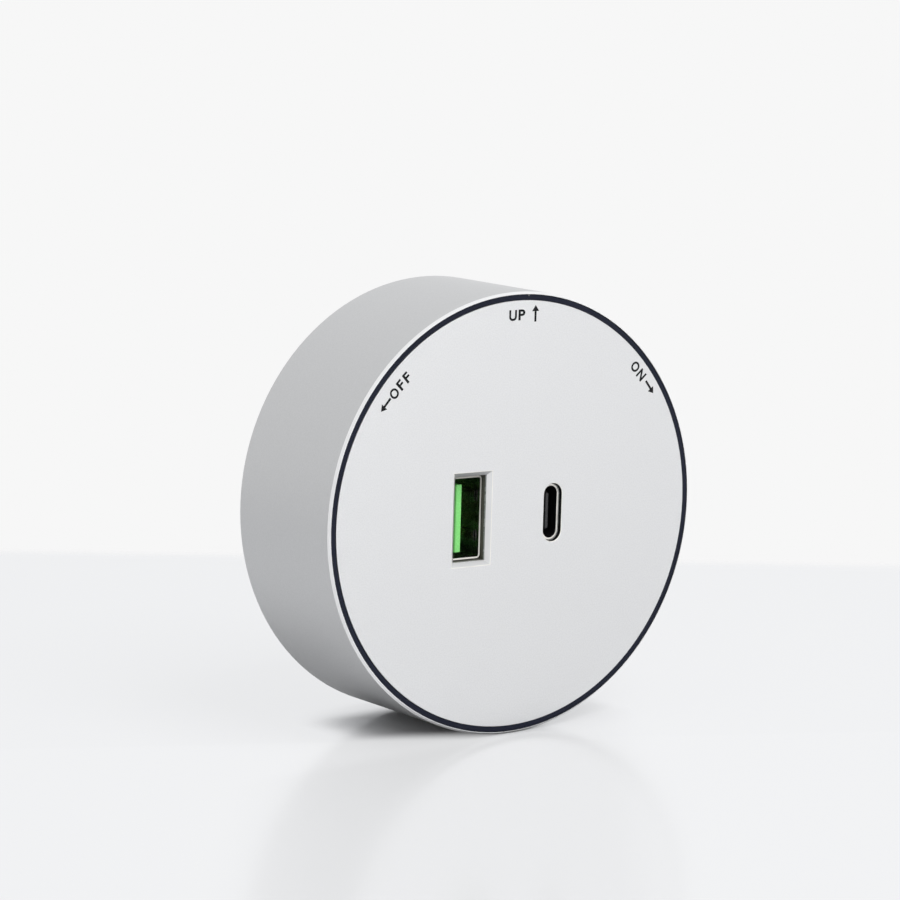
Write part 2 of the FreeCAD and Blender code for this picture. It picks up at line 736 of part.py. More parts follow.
def make_transformer():
    """Ferrite frame on a wound bobbin."""
    middle = f"(transformer_inset - {BOARD_RADIUS})"
    z = around(middle, "core_thickness")
    core_height = f"({TALL_HEIGHT} - bobbin_foot)"
    frame = block("core_block", around("0", "core_width"), on_board(core_height, "bobbin_foot"), z)
    window_low = "bobbin_foot + core_side"
    window_height = f"({core_height} - 2 * core_side)"
    edge = "(core_width / 2 - core_side)"
    windows = []
    for x in (("core_leg / 2", edge), (f"-{edge}", "-core_leg / 2")):
        windows.append(block("core_window", x, on_board(window_height, window_low), z))
    keep("transformer_core", without("transformer_core", frame, windows))

    leg_x = around("0", "core_leg")
    sleeve_width = "core_leg + 2 * bobbin_wall"
    sleeve_thickness = "core_thickness + 2 * bobbin_wall"
    leg = block("bobbin_hole", leg_x, on_board(window_height, window_low), z)
    sleeve = block("bobbin_sleeve", around("0", sleeve_width), on_board(window_height, window_low),
                   around(middle, sleeve_thickness))
    coil_width = f"{sleeve_width} + 2 * coil_thickness"
    coil_depth = f"{sleeve_thickness} + 2 * coil_thickness"
    coil_lift = f"{window_low} + bobbin_wall"
    coil_height = f"{window_height} - 2 * bobbin_wall"
    flanges = []
    for place in (window_low, f"{window_low} + {window_height} - bobbin_wall"):
        flanges.append(block("bobbin_flange", around("0", coil_width), on_board("bobbin_wall", place),
                             around(middle, coil_depth)))
    foot = block("bobbin_foot_block", around("0", "core_width"), on_board("bobbin_foot"),
                 around(middle, "bobbin_length"))
    near = f"({sleeve_thickness}) / 2"
    far = f"({coil_depth}) / 2"
    uprights = []
    for span in ((f"{middle} - {far}", f"{middle} - {near}"), (f"{middle} + {near}", f"{middle} + {far}")):
        uprights.append(block("bobbin_upright", leg_x, on_board("core_side", "bobbin_foot"), span))
    spool = joined("bobbin_spool", [sleeve] + flanges + [foot] + uprights)
    keep("transformer_bobbin", without("transformer_bobbin", spool, [leg]))
    winding = block("coil_block", around("0", coil_width), on_board(coil_height, coil_lift),
                    around(middle, coil_depth))
    keep("transformer_coil", without("transformer_coil", winding, [sleeve]))


def make_capacitors():
    bulk = []
    output = []
    for up in ("-", ""):
        bulk.append(rod("bulk_can", "y", "bulk_radius", on_board(TALL_HEIGHT),
                        f"bulk_inset - {BOARD_RADIUS}", f"{up}bulk_z"))
        output.append(rod("output_can", "y", "output_radius", on_board("output_height"),
                          f"{BOARD_RADIUS} - output_inset", f"{up}output_z"))
    keep("bulk_capacitors", grouped("bulk_capacitors", bulk))
    keep("output_capacitors", grouped("output_capacitors", output))
    keep("x_capacitor", block("x_capacitor", around("x_capacitor_x", "x_capacitor_width"),
                              on_board("x_capacitor_height"),
                              around(f"{BOARD_RADIUS} - x_capacitor_inset", "x_capacitor_thickness")))


def make_inductor():
    """Drum core: two flanges and a waist that the wire fills."""
    place = (f"{BOARD_RADIUS} - inductor_inset", "0")
    drum = [rod("inductor_waist_rod", "y", "inductor_waist", on_board("inductor_height"), *place)]
    for lift in ("0", "inductor_height - inductor_flange"):
        drum.append(rod("inductor_end", "y", "inductor_radius", on_board("inductor_flange", lift), *place))
    core = keep("inductor_core", joined("inductor_core", drum))
    wire = rod("inductor_wire", "y", "inductor_radius - inductor_margin",
               on_board("inductor_height - 2 * inductor_flange", "inductor_flange"), *place)
    keep("inductor_coil", without("inductor_coil", wire, [core]))


def make_choke():
    """Ring core with a winding on each half."""
    place = ("choke_x", f"{BOARD_RADIUS} - choke_inset")
    core_span = on_board("choke_height", "choke_wire")
    wire_span = on_board("choke_height + 2 * choke_wire")
    ring = rod("choke_disc", "y", "choke_outer", core_span, *place)
    hole = rod("choke_hole", "y", "choke_inner", core_span, *place)
    core = keep("choke_core", without("choke_core", ring, [hole]))
    windings = []
    for middle in (90, 270):
        start = Rotation(Vector(0, 0, 1), number(f"{middle} - choke_turn_angle / 2"))
        outside = rod("winding_outside", "y", "choke_outer + choke_wire", wire_span, *place)
        outside.Placement = Placement(Vector(0, 0, 0), ALONG["y"].multiply(start))
        bind(outside, "Angle", "choke_turn_angle")
        inside = rod("winding_inside", "y", "choke_inner - choke_wire", wire_span, *place)
        windings.append(without("choke_winding", outside, [inside, core]))
    keep("choke_windings", grouped("choke_windings", windings))


def make_small_parts():
    """Fuse, surge disc, safety disc and the moulded chips."""
    fuse_centre = f"{BOARD_FRONT} - fuse_radius"
    keep("fuse", rod("fuse", "x", "fuse_radius", around("fuse_x", "fuse_length"),
                     fuse_centre, f"{BOARD_RADIUS} - fuse_inset"))
    disc_place = (f"{BOARD_FRONT} - disc_radius", f"disc_inset - {BOARD_RADIUS}")
    for name, across in (("varistor", "-disc_x"), ("y_capacitor", "disc_x")):
        keep(name, rod(name, "x", "disc_radius", around(across, "disc_thickness"), *disc_place))
    for name, prefix in (("bridge_rectifier", "bridge"), ("power_chip", "chip"), ("optocoupler", "coupler")):
        keep(name, block(name, around(prefix + "_x", prefix + "_width"), on_board(prefix + "_height"),
                         around(prefix + "_z", prefix + "_depth")))


def make_insulation_sheet():
    body = document.addObject("PartDesign::Body", "insulation_sheet")
    front = f"({COVER_FRONT} - sheet_thickness)"
    disc(body, "film", f"{HOUSING_INNER} - sheet_clearance", (front, COVER_FRONT), "hub_radius")
    posts = sketch_at(body, "post_hole_outline", "XZ_Plane", front)
    circle(posts, *on_circle(BOSS_CIRCLE, CORNERS[0]), "boss_radius")
    hole = sunk(body, posts, "post_hole", "sheet_thickness")
    patterned(body, [hole], "post_holes", len(CORNERS), posts)
    return keep("insulation_sheet", body)


def make_rear_cover():
    """Back of the module: seats on the shell's rear step, holds the board and carries the key."""
    body = document.addObject("PartDesign::Body", "rear_cover")
    disc(body, "plate", f"{REAR_BORE} - fit_gap", (COVER_FRONT, COVER_BACK), "neck_bore")
    posts = sketch_at(body, "post_outline", "XZ_Plane", BOARD_BACK)
    circle(posts, *on_circle(BOSS_CIRCLE, CORNERS[0]), "boss_radius")
    post = raised(body, posts, "post", "board_gap")
    shanks = sketch_at(body, "shank_outline", "XZ_Plane", BOARD_BACK)
    circle(shanks, *on_circle(BOSS_CIRCLE, CORNERS[0]), "cover_screw_radius")
    shank = sunk(body, shanks, "shank_hole", "board_gap + cover_thickness")
    heads = sketch_at(body, "head_outline", "XZ_Plane", f"{COVER_BACK} - cover_head_height")
    circle(heads, *on_circle(BOSS_CIRCLE, CORNERS[0]), "cover_head_radius")
    head = sunk(body, heads, "head_sink", "cover_head_height")
    patterned(body, [post, shank, head], "posts", len(CORNERS), posts)
    for name, radius, length in (("key_head", "key_head_radius", "key_head_height"),
                                 ("key_shank", "key_screw_radius", "cover_thickness")):
        key = sketch_at(body, name + "_outline", "XZ_Plane", COVER_FRONT)
        for angle in KEY_SCREW_ANGLES:
            circle(key, *on_circle("key_screw_circle", angle), radius)
        sunk(body, key, name + "_holes", length)
    pin = sketch_at(body, "stop_hole_outline", "XZ_Plane", COVER_FRONT)
    circle(pin, *STOP_PLACE, "stop_radius")
    sunk(body, pin, "stop_hole", "cover_thickness")
    screws = []
    seat = f"{COVER_BACK} - cover_head_height"
    for angle in CORNERS:
        screws.append(screw("cover_screw", on_circle(BOSS_CIRCLE, angle), (COVER_SCREW_TIP, seat),
                            (seat, COVER_BACK), "cover_screw_radius", "cover_head_radius"))
    keep("rear_cover_screws", grouped("rear_cover_screws", screws))
    return keep("rear_cover", body)


def make_stop_pin():
    """Pin in the cover that runs in the guide plate's groove and ends the turn."""
    tip = f"{PLATE_FRONT} + stop_depth - stop_gap"
    return keep("stop_pin", rod("stop_pin", "y", "stop_radius", (COVER_FRONT, tip), *STOP_PLACE))


def blade_outline(sketch, inset):
    rounded_box(sketch, "0", "0", f"blade_length - 2 * {inset}", f"blade_width - 2 * {inset}",
                f"blade_corner - {inset}")


def make_key_body():
    """Key that turns behind the track's lips: hub, neck and hollow blade."""
    body = document.addObject("PartDesign::Body", "key_blank")
    clip_back = f"({CLIP_FRONT} + clip_thickness)"
    turned(body, "hub", [
        ("neck_bore", COVER_BACK),
        ("hub_radius", COVER_BACK),
        ("hub_radius", CLIP_FRONT),
        (CLIP_INNER, CLIP_FRONT),
        (CLIP_INNER, clip_back),
        ("hub_radius", clip_back),
        ("hub_radius", "0"),
        ("neck_radius", "0"),
        ("neck_radius", "blade_start"),
        ("neck_bore", "blade_start"),
    ])
    outline = sketch_at(body, "blade_outline", "XZ_Plane", "blade_start")
    blade_outline(outline, "0")
    raised(body, outline, "blade", "blade_depth")
    hollow = sketch_at(body, "hollow_outline", "XZ_Plane", "blade_start + key_wall")
    blade_outline(hollow, "key_wall")
    sunk(body, hollow, "hollow", "blade_depth - key_wall")
    bore = sketch_at(body, "bore_outline", "XZ_Plane", COVER_BACK)
    circle(bore, "0", "0", "neck_bore")
    sunk(body, bore, "bore", f"blade_start + key_wall - {COVER_BACK}")
    holes = sketch_at(body, "screw_outline", "XZ_Plane", COVER_BACK)
    for angle in KEY_SCREW_ANGLES:
        circle(holes, *on_circle("key_screw_circle", angle), "key_screw_radius")
    sunk(body, holes, "screw_holes", f"{KEY_SCREW_TIP} - {COVER_BACK}")
    slot = block("contact_slot", around("0", "blade_length + 2 * contact_reach"),
                 around(KEY_MIDDLE, "contact_depth"), around("0", "contact_height"))
    keep("key_body", without("key_body", body, [slot]))

    screws = []
    seat = f"{COVER_FRONT} + key_head_height"
    for angle in KEY_SCREW_ANGLES:
        screws.append(screw("key_screw", on_circle("key_screw_circle", angle), (seat, KEY_SCREW_TIP),
                            (COVER_FRONT, seat), "key_screw_radius", "key_head_radius"))
    keep("key_screws", grouped("key_screws", screws))


def make_key_cover():
    """Lid on the end of the blade, with the earth contact through it."""
    body = document.addObject("PartDesign::Body", "key_lid")
    lid = sketch_at(body, "lid_outline", "XZ_Plane", BLADE_BACK)
    blade_outline(lid, "0")
    raised(body, lid, "lid", "key_cover_thickness")
    keep("key_cover", without("key_cover", body, [make_earth_contact()]))


def make_side_contacts():
    """Contacts that reach through the blade's ends to the track's two rails."""
    outside = "(blade_length / 2 + contact_reach)"
    wall = "(blade_length / 2 - key_wall)"
    inside = f"({wall} - contact_flange)"
    for name, pad_x, flange_x in (
            ("live_contact", (f"-{outside}", f"-{wall}"), (f"-{wall}", f"-{inside}")),
            ("neutral_contact", (wall, outside), (inside, wall))):
        flange = block(name + "_flange", flange_x, around(KEY_MIDDLE, "contact_depth + 2 * contact_lip"),
                       around("0", "contact_height + 2 * contact_lip"))
        pad = block(name + "_pad", pad_x, around(KEY_MIDDLE, "contact_depth"), around("0", "contact_height"))
        keep(name, joined(name, [flange, pad]))


def make_earth_contact():
    """Strap at the tip of the key that meets the track's earth rail first."""
    flange = block("earth_flange", around("0", "earth_width + 2 * contact_lip"),
                   (f"{BLADE_BACK} - contact_flange", BLADE_BACK),
                   around("0", "earth_height + 2 * contact_lip"))
    pad = block("earth_pad", around("0", "earth_width"), (BLADE_BACK, f"{KEY_BACK} + contact_reach"),
                around("0", "earth_height"))
    return keep("earth_contact", joined("earth_contact", [flange, pad]))


def swept_lead(name, points, bend):
    """A round lead along straight runs that one arc joins at each corner."""
    edges = []
    start = points[0]
    for corner, following in zip(points[1:-1], points[2:]):
        back = (start - corner).normalize()
        ahead = (following - corner).normalize()
        half = back.getAngle(ahead) / 2
        reach = bend / math.tan(half)
        first = corner + back * reach
        last = corner + ahead * reach
        centre = corner + (back + ahead).normalize() * (bend / math.sin(half))
        middle = centre + (corner - centre).normalize() * bend
        edges.append(Part.LineSegment(start, first).toShape())
        edges.append(Part.Arc(first, middle, last).toShape())
        start = last
    edges.append(Part.LineSegment(start, points[-1]).toShape())
    path = Part.Wire(edges)
    radius = number("lead_radius")
    section = Part.Wire([Part.Circle(points[0], points[1] - points[0], radius).toShape()])
    lead = document.addObject("Part::Feature", name)
    lead.Shape = path.makePipeShell([section], True, True)
    lead.Placement = Placement()
    print(f"{name}: {path.Length:.2f} mm long, bends {bend:.2f} mm, "
          f"volume error {lead.Shape.Volume - math.pi * radius ** 2 * path.Length:.4f} mm3")
    return keep(name, lead)


def make_leads():
    """Insulated leads from the mains board through the neck to the contacts."""
    first_y = number(f"{BOARD_FRONT} - lead_end")
    contact_y = number(KEY_MIDDLE)
    contact_x = number("blade_length / 2 - key_wall - contact_flange")
    for name, side in (("live_lead", -1), ("neutral_lead", 1)):
        across, up = (number(place) for place in LEAD_PLACES[name])
        points = [Vector(across, first_y, up), Vector(across, contact_y, up),
                  Vector(side * contact_x, contact_y, up)]
        swept_lead(name, points, number("lead_bend"))
    span = (f"{BOARD_FRONT} - lead_end", f"{BLADE_BACK} - contact_flange")
    keep("earth_lead", rod("earth_lead", "y", "lead_radius", span, *LEAD_PLACES["earth_lead"]))


def make_guide_plate():
    """Plate that stays still in the track: bore for the hub, groove for the stop, two ribs."""
    body = document.addObject("PartDesign::Body", "guide_plate")
    pocket_floor = f"({PLATE_BACK} - clip_pocket_depth)"
    washer_floor = f"({PLATE_FRONT} + washer_recess)"
    pad_floor = "(-pad_thickness)"
    bore = "(hub_radius + hub_gap)"
    turned(body, "plate", [
        (bore, washer_floor),
        (f"{WASHER_OUTER} + hub_gap", washer_floor),
        (f"{WASHER_OUTER} + hub_gap", PLATE_FRONT),
        (PLATE_RADIUS, PLATE_FRONT),
        (PLATE_RADIUS, PLATE_BACK),
        (PAD_OUTER, PLATE_BACK),
        (PAD_OUTER, pad_floor),
        (PAD_INNER, pad_floor),
        (PAD_INNER, PLATE_BACK),
        (CLIP_POCKET, PLATE_BACK),
        (CLIP_POCKET, pocket_floor),
        (bore, pocket_floor),
    ])
    groove = sketch_at(body, "groove_outline", "XZ_Plane", PLATE_FRONT)
    arc_slot(groove, "stop_circle", "stop_radius + stop_gap")
    sunk(body, groove, "stop_groove", "stop_depth")
    ribs = sketch_at(body, "rib_outline", "XZ_Plane", PLATE_BACK)
    rounded_box(ribs, f"({RIB_START} + {RIB_END}) / 2", "0", "rib_length", "rib_width", "rib_corner")
    rib = raised(body, ribs, "rib", f"rib_height - {PLATE_BACK}")
    patterned(body, [rib], "ribs", 2, ribs)
    return keep("guide_plate", body)


def arc_slot(sketch, radius, half_width):
    """A round-ended groove about the origin, centred on the top, as long as the turn."""
    half_turn = number("twist_angle") / 2
    start, end = 90 - half_turn, 90 + half_turn
    outer = arc(sketch, "0", "0", f"{radius} + {half_width}", start, end)
    inner = arc(sketch, "0", "0", f"{radius} - ({half_width})", start, end)
    caps = []
    for side, first in (("", start - 180), ("-", end)):
        across = f"{side}{radius} * sin(twist_angle / 2)"
        centre = Vector(number(across), number(f"{radius} * cos(twist_angle / 2)"), 0)
        whole = Part.Circle(centre, Vector(0, 0, 1), number(half_width))
        cap = Part.ArcOfCircle(whole, math.radians(first), math.radians(first + 180))
        caps.append((sketch.addGeometry(cap, False), across))
    (right, right_across), (left, left_across) = caps
    for one, two in (((outer, 1), (right, 2)), ((right, 1), (inner, 1)),
                     ((outer, 2), (left, 1)), ((left, 2), (inner, 2))):
        sketch.addConstraint(Sketcher.Constraint("Tangent", *one, *two))
    limit(sketch, "DistanceX", (-1, 1, right, 3), right_across)
    limit(sketch, "DistanceX", (-1, 1, left, 3), left_across)


def make_running_parts():
    """Seat pad, friction washer and the open ring that holds the plate on the hub."""
    pad = document.addObject("PartDesign::Body", "seat_pad")
    disc(pad, "pad", PAD_OUTER, ("-pad_thickness", "0"), PAD_INNER)
    keep("seat_pad", pad)
    washer = document.addObject("PartDesign::Body", "friction_washer")
    disc(washer, "washer", WASHER_OUTER, (COVER_BACK, f"{COVER_BACK} + washer_thickness"),
         "hub_radius + hub_gap")
    keep("friction_washer", washer)
    clip = document.addObject("PartDesign::Body", "clip_ring")
    clip_back = f"{CLIP_FRONT} + clip_thickness"
    disc(clip, "ring", CLIP_OUTER, (CLIP_FRONT, clip_back), CLIP_INNER)
    opening = block("clip_gap_block", around("0", "clip_opening"), (CLIP_FRONT, clip_back),
                    (f"-2 * {CLIP_OUTER}", "0"))
    keep("retaining_ring", without("retaining_ring", clip, [opening]))


make_outer_shell()
make_front_housing()
make_face_plate()
make_face_adhesive()
make_port_board(make_usb_a() + make_usb_c())
make_power_board()
make_transformer()
make_capacitors()
make_inductor()
make_choke()
make_small_parts()
make_insulation_sheet()
make_rear_cover()
make_stop_pin()
make_key_body()
make_key_cover()
make_side_contacts()
make_leads()
make_guide_plate()
make_running_parts()
document.recompute()

for item in document.Objects:
    if "Invalid" in item.State or "Error" in item.State:
        raise RuntimeError(f"{item.Label} failed: {item.State}")
for name, piece in sub_parts.items():
    if piece.Shape.isNull() or not piece.Shape.isValid() or not piece.Shape.Solids:
        raise RuntimeError(f"{name} has no valid solid")

os.makedirs("parts", exist_ok=True)
for name, piece in sub_parts.items():
    piece.Shape.exportStep(f"parts/{name}.step")
print(f"{len(sub_parts)} sub-parts written")
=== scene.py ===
import json
import math

import bmesh
import bpy
from mathutils import Matrix, Vector


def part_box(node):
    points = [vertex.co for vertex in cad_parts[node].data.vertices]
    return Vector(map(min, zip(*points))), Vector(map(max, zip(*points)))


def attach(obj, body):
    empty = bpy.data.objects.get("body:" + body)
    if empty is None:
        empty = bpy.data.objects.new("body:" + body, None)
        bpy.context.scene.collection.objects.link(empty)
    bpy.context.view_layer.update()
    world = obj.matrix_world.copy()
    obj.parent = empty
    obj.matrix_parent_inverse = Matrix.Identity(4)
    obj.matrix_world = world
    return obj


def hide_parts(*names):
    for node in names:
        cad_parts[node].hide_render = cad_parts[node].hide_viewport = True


# A round desk socket: a metal puck that stands on its edge, with two ports in its face.
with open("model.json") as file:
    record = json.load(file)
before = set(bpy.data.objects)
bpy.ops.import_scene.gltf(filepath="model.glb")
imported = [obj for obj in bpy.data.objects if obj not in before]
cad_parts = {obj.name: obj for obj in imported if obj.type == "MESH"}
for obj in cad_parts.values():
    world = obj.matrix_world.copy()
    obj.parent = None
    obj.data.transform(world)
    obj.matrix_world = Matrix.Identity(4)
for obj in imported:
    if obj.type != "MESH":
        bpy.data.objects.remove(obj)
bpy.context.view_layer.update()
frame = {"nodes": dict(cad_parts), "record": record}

MM = 0.001
SLOT_OF_NODE = {entry["node"]: entry["material_slot"] for entry in frame["record"]["subparts"]}
scene = bpy.context.scene
scene.view_settings.view_transform = "Standard"

# The camera, at the photograph's place.
CAMERA_PLACE = Vector((-343.74, -483.42, 95.52)) * MM
CAMERA_AIM = Vector((-1.69, -10.69, 8.18)) * MM
CAMERA_UP = Vector((0.06375, 0.13652, 0.98858))
CAMERA_LENS = 148.4
CAMERA_SENSOR = 36

# The table, on which the puck stands on its edge. It reaches ahead and back from under the camera.
TABLE_UP = Vector((-0.03454, 0.0, 0.99940)).normalized()
TABLE_DROP = 35.02 * MM
TABLE_FAR = 730 * MM
TABLE_NEAR = 700 * MM
TABLE_HALF_WIDTH = 1500 * MM

# The table fades out just before its far end, along a line that slants a little. In millimetres.
FADE_START = 704
FADE_END = 714
FADE_SLANT = 0.083

# How far the shadow close under the puck reaches, in millimetres.
CLOSE_SHADOW = 8

# Where the table shows whiter than its light makes it, away from that shadow: a direction, the start
# and the end of the rise along it in millimetres, and how far the whiteness rises.
WHITE_SIDES = (
    ((0.6, 1, 0), -22.5, -31, 0.9),
    ((1, 0, 0), 0, 9, 0.6),
    ((0, 1, 0), -5, 1.5, 0.7),
)

# The room's light is a little cool.
COOL_WHITE = (0.985, 0.99, 1, 1)


# Camera, table and light

def add_camera():
    data = bpy.data.cameras.new("photo_camera")
    data.lens = CAMERA_LENS
    data.sensor_width = CAMERA_SENSOR
    data.clip_start = 0.02
    data.clip_end = 20
    camera = bpy.data.objects.new("photo_camera", data)
    forward = (CAMERA_AIM - CAMERA_PLACE).normalized()
    right = forward.cross(CAMERA_UP).normalized()
    up = right.cross(forward)
    matrix = Matrix((right, up, -forward)).transposed().to_4x4()
    matrix.translation = CAMERA_PLACE
    camera.matrix_world = matrix
    scene.collection.objects.link(camera)
    scene.camera = camera


def table_axes():
    """The point of the table under the camera, the way ahead from it and the way to its right."""
    foot = -TABLE_DROP * TABLE_UP
    ground = CAMERA_PLACE - (CAMERA_PLACE - foot).dot(TABLE_UP) * TABLE_UP
    forward = CAMERA_AIM - CAMERA_PLACE
    forward -= forward.dot(TABLE_UP) * TABLE_UP
    forward.normalize()
    return ground, forward, forward.cross(TABLE_UP)


def add_table(material):
    ground, forward, aside = table_axes()
    corners = []
    for reach, side in ((-TABLE_NEAR, -1), (-TABLE_NEAR, 1), (TABLE_FAR, 1), (TABLE_FAR, -1)):
        corners.append(ground + reach * forward + side * TABLE_HALF_WIDTH * aside)
    mesh = bpy.data.meshes.new("table")
    mesh.from_pydata(corners, [], [(0, 1, 2, 3)])
    table = bpy.data.objects.new("table", mesh)
    mesh.materials.append(material)
    scene.collection.objects.link(table)


def add_world(camera_strength, gloss_dark, gloss_bright, fill_strength):
    """A plain pale room: metal sees it darker at the left back than at the right and above."""
    world = bpy.data.worlds.new("studio")
    scene.world = world
    world.use_nodes = True
    tree = world.node_tree
    tree.nodes.clear()
    ray = add_node(tree, "ShaderNodeLightPath").outputs
    bright_side = Vector((0.9, -0.2, 0.4)).normalized()
    facing = measure_along(tree, bright_side, "Generated")
    strength = map_range(tree, facing, (-1.0, 1.0), (gloss_dark, gloss_bright))
    seen = add_node(tree, "ShaderNodeBackground", {"Color": (1, 1, 1, 1), "Strength": camera_strength})
    filled = add_node(tree, "ShaderNodeBackground", {"Color": COOL_WHITE, "Strength": fill_strength})
    mirrored = add_node(tree, "ShaderNodeBackground", {"Color": COOL_WHITE})
    tree.links.new(strength, mirrored.inputs["Strength"])
    glossy = combine(tree, "MAXIMUM", ray["Is Glossy Ray"], ray["Is Transmission Ray"])
    room = mix(tree, glossy, filled.outputs[0], mirrored.outputs[0])
    out = add_node(tree, "ShaderNodeOutputWorld")
    tree.links.new(mix(tree, ray["Is Camera Ray"], room, seen.outputs[0]), out.inputs["Surface"])


def add_lamp(name, place, size, power, mirrored=True):
    """A soft square lamp that looks at the middle of the puck; metal shows it only if `mirrored`."""
    data = bpy.data.lights.new(name, "AREA")
    data.shape = "SQUARE"
    data.size = size
    data.energy = power
    lamp = bpy.data.objects.new(name, data)
    place = Vector(place)
    lamp.matrix_world = Matrix.Translation(place) @ (-place).to_track_quat("-Z", "Y").to_matrix().to_4x4()
    lamp.visible_camera = False
    lamp.visible_glossy = mirrored
    scene.collection.objects.link(lamp)


# Node helpers

def add_node(tree, kind, values=None, **settings):
    node = tree.nodes.new(kind)
    for key, value in settings.items():
        setattr(node, key, value)
    for key, value in (values or {}).items():
        node.inputs[key].default_value = value
    return node


def combine(tree, operation, first, second):
    """One number from two."""
    node = add_node(tree, "ShaderNodeMath", operation=operation)
    tree.links.new(first, node.inputs[0])
    tree.links.new(second, node.inputs[1])
    return node.outputs[0]


def mix(tree, share, first, second):
    """Goes from one shader to another as `share` rises from 0 to 1."""
    node = add_node(tree, "ShaderNodeMixShader")
    tree.links.new(share, node.inputs[0])
    tree.links.new(first, node.inputs[1])
    tree.links.new(second, node.inputs[2])
    return node.outputs[0]


def map_range(tree, field, source, target, kind="LINEAR"):
    """A field, brought from one range of numbers to another."""
    node = add_node(tree, "ShaderNodeMapRange", interpolation_type=kind)
    for name, value in zip(("From Min", "From Max", "To Min", "To Max"), (*source, *target)):
        node.inputs[name].default_value = value
    tree.links.new(field, node.inputs["Value"])
    return node.outputs["Result"]


def measure_along(tree, direction, coordinates="Object"):
    """How far each point lies along a direction."""
    place = add_node(tree, "ShaderNodeTexCoord")
    along = add_node(tree, "ShaderNodeVectorMath", {1: direction}, operation="DOT_PRODUCT")
    tree.links.new(place.outputs[coordinates], along.inputs[0])
    return along.outputs["Value"]


def fade_along(tree, direction, start, end, most=1.0):
    """Rises smoothly from 0 to `most` between two places along a direction, in millimetres."""
    along = measure_along(tree, direction)
    return map_range(tree, along, (start * MM, end * MM), (0.0, most), "SMOOTHSTEP")


def noise(tree, size, stretch=(1, 1, 1)):
    """A noise whose grains are about `size` millimetres wide, drawn out by `stretch`."""
    place = add_node(tree, "ShaderNodeTexCoord")
    scale = tuple(1 / s for s in stretch)
    mapping = add_node(tree, "ShaderNodeMapping", {"Scale": scale})
    field = add_node(tree, "ShaderNodeTexNoise", {"Scale": 1 / (size * MM)})
    tree.links.new(place.outputs["Object"], mapping.inputs["Vector"])
    tree.links.new(mapping.outputs["Vector"], field.inputs["Vector"])
    return field.outputs["Fac"]


def bands(tree, size, axis):
    """Round bands that repeat about every `size` millimetres along an axis."""
    place = add_node(tree, "ShaderNodeTexCoord")
    wave = add_node(tree, "ShaderNodeTexWave", {"Scale": 2 / (math.tau * size * MM)}, bands_direction=axis)
    tree.links.new(place.outputs["Object"], wave.inputs["Vector"])
    return wave.outputs["Fac"]


def colour_between(tree, field, low, high, start, end):
    """A colour that goes from `low` to `high` while a field rises from `start` to `end`."""
    ramp = add_node(tree, "ShaderNodeValToRGB")
    first, last = ramp.color_ramp.elements
    first.position = start
    first.color = (*low, 1)
    last.position = end
    last.color = (*high, 1)
    tree.links.new(field, ramp.inputs["Fac"])
    return ramp.outputs["Color"]


# Materials

def start_material(name, metallic=0.0, roughness=0.5, **sockets):
    material = bpy.data.materials.new(name)
    material.use_nodes = True
    tree = material.node_tree
    shader = tree.nodes["Principled BSDF"]
    shader.inputs["Metallic"].default_value = metallic
    shader.inputs["Roughness"].default_value = roughness
    for key, value in sockets.items():
        shader.inputs[key.replace("_", " ")].default_value = value
    return material, tree, shader


def vary_colour(tree, shader, field, low, high, start=0.35, end=0.65):
    colour = colour_between(tree, field, low, high, start, end)
    tree.links.new(colour, shader.inputs["Base Color"])


def vary_roughness(tree, shader, field, low, high, start=0.3, end=0.7):
    spread = map_range(tree, field, (start, end), (low, high))
    tree.links.new(spread, shader.inputs["Roughness"])


def raise_bumps(tree, shader, field, height):
    """Bumps of about `height` millimetres."""
    bump = add_node(tree, "ShaderNodeBump", {"Strength": 1.0, "Distance": height * MM})
    tree.links.new(field, bump.inputs["Height"])
    tree.links.new(bump.outputs["Normal"], shader.inputs["Normal"])


def finish(name, low, high, rough, grain, height, blotch=6.0, stretch=(1, 1, 1), metallic=0.0, **sockets):
    """A surface between two colours and two roughnesses, with a fine grain, in millimetres.

    The colour varies over `blotch`; the gloss and the bumps of a `height` follow the `grain`.
    """
    material, tree, shader = start_material(name, metallic, **sockets)
    wide = noise(tree, blotch)
    fine = noise(tree, grain, stretch)
    vary_colour(tree, shader, wide, low, high)
    vary_roughness(tree, shader, fine, *rough)
    raise_bumps(tree, shader, fine, height)
    return material


def aluminium_finishes():
    """The blasted shell and face, the turned rim, and the milled bevels of the window in two painted tones:
    painted shade on the top one, a lighter copy on the others.
    """
    return {
        "shell_aluminium": finish(
            "blasted_aluminium_shell", (0.625, 0.628, 0.631), (0.652, 0.655, 0.658), rough=(0.38, 0.50),
            grain=0.10, height=0.008, blotch=0.25, metallic=1.0),
        "face_aluminium": finish(
            "blasted_aluminium_face", (0.781, 0.782, 0.783), (0.825, 0.826, 0.827), rough=(0.38, 0.50),
            grain=0.10, height=0.008, blotch=0.22, stretch=(1, 1, 6), metallic=1.0),
        "cut_aluminium": finish(
            "bright_cut_aluminium", (0.91, 0.91, 0.91), (0.94, 0.94, 0.94), rough=(0.38, 0.46),
            grain=0.15, height=0.001, metallic=1.0),
        # Painted shade: the window's top bevel, darker than the rest.
        "shaded_top_bevel": finish(
            "milled_top_bevel_painted_shade", (0.53, 0.53, 0.53), (0.56, 0.56, 0.56), rough=(0.44, 0.52),
            grain=0.15, height=0.001, metallic=1.0),
        # Painted light: the window's other bevels, a lit copy of the top bevel's finish.
        "lit_side_bevel": finish(
            "milled_lit_side_bevel", (0.76, 0.76, 0.76), (0.79, 0.79, 0.79), rough=(0.44, 0.52),
            grain=0.15, height=0.001, metallic=1.0),
    }


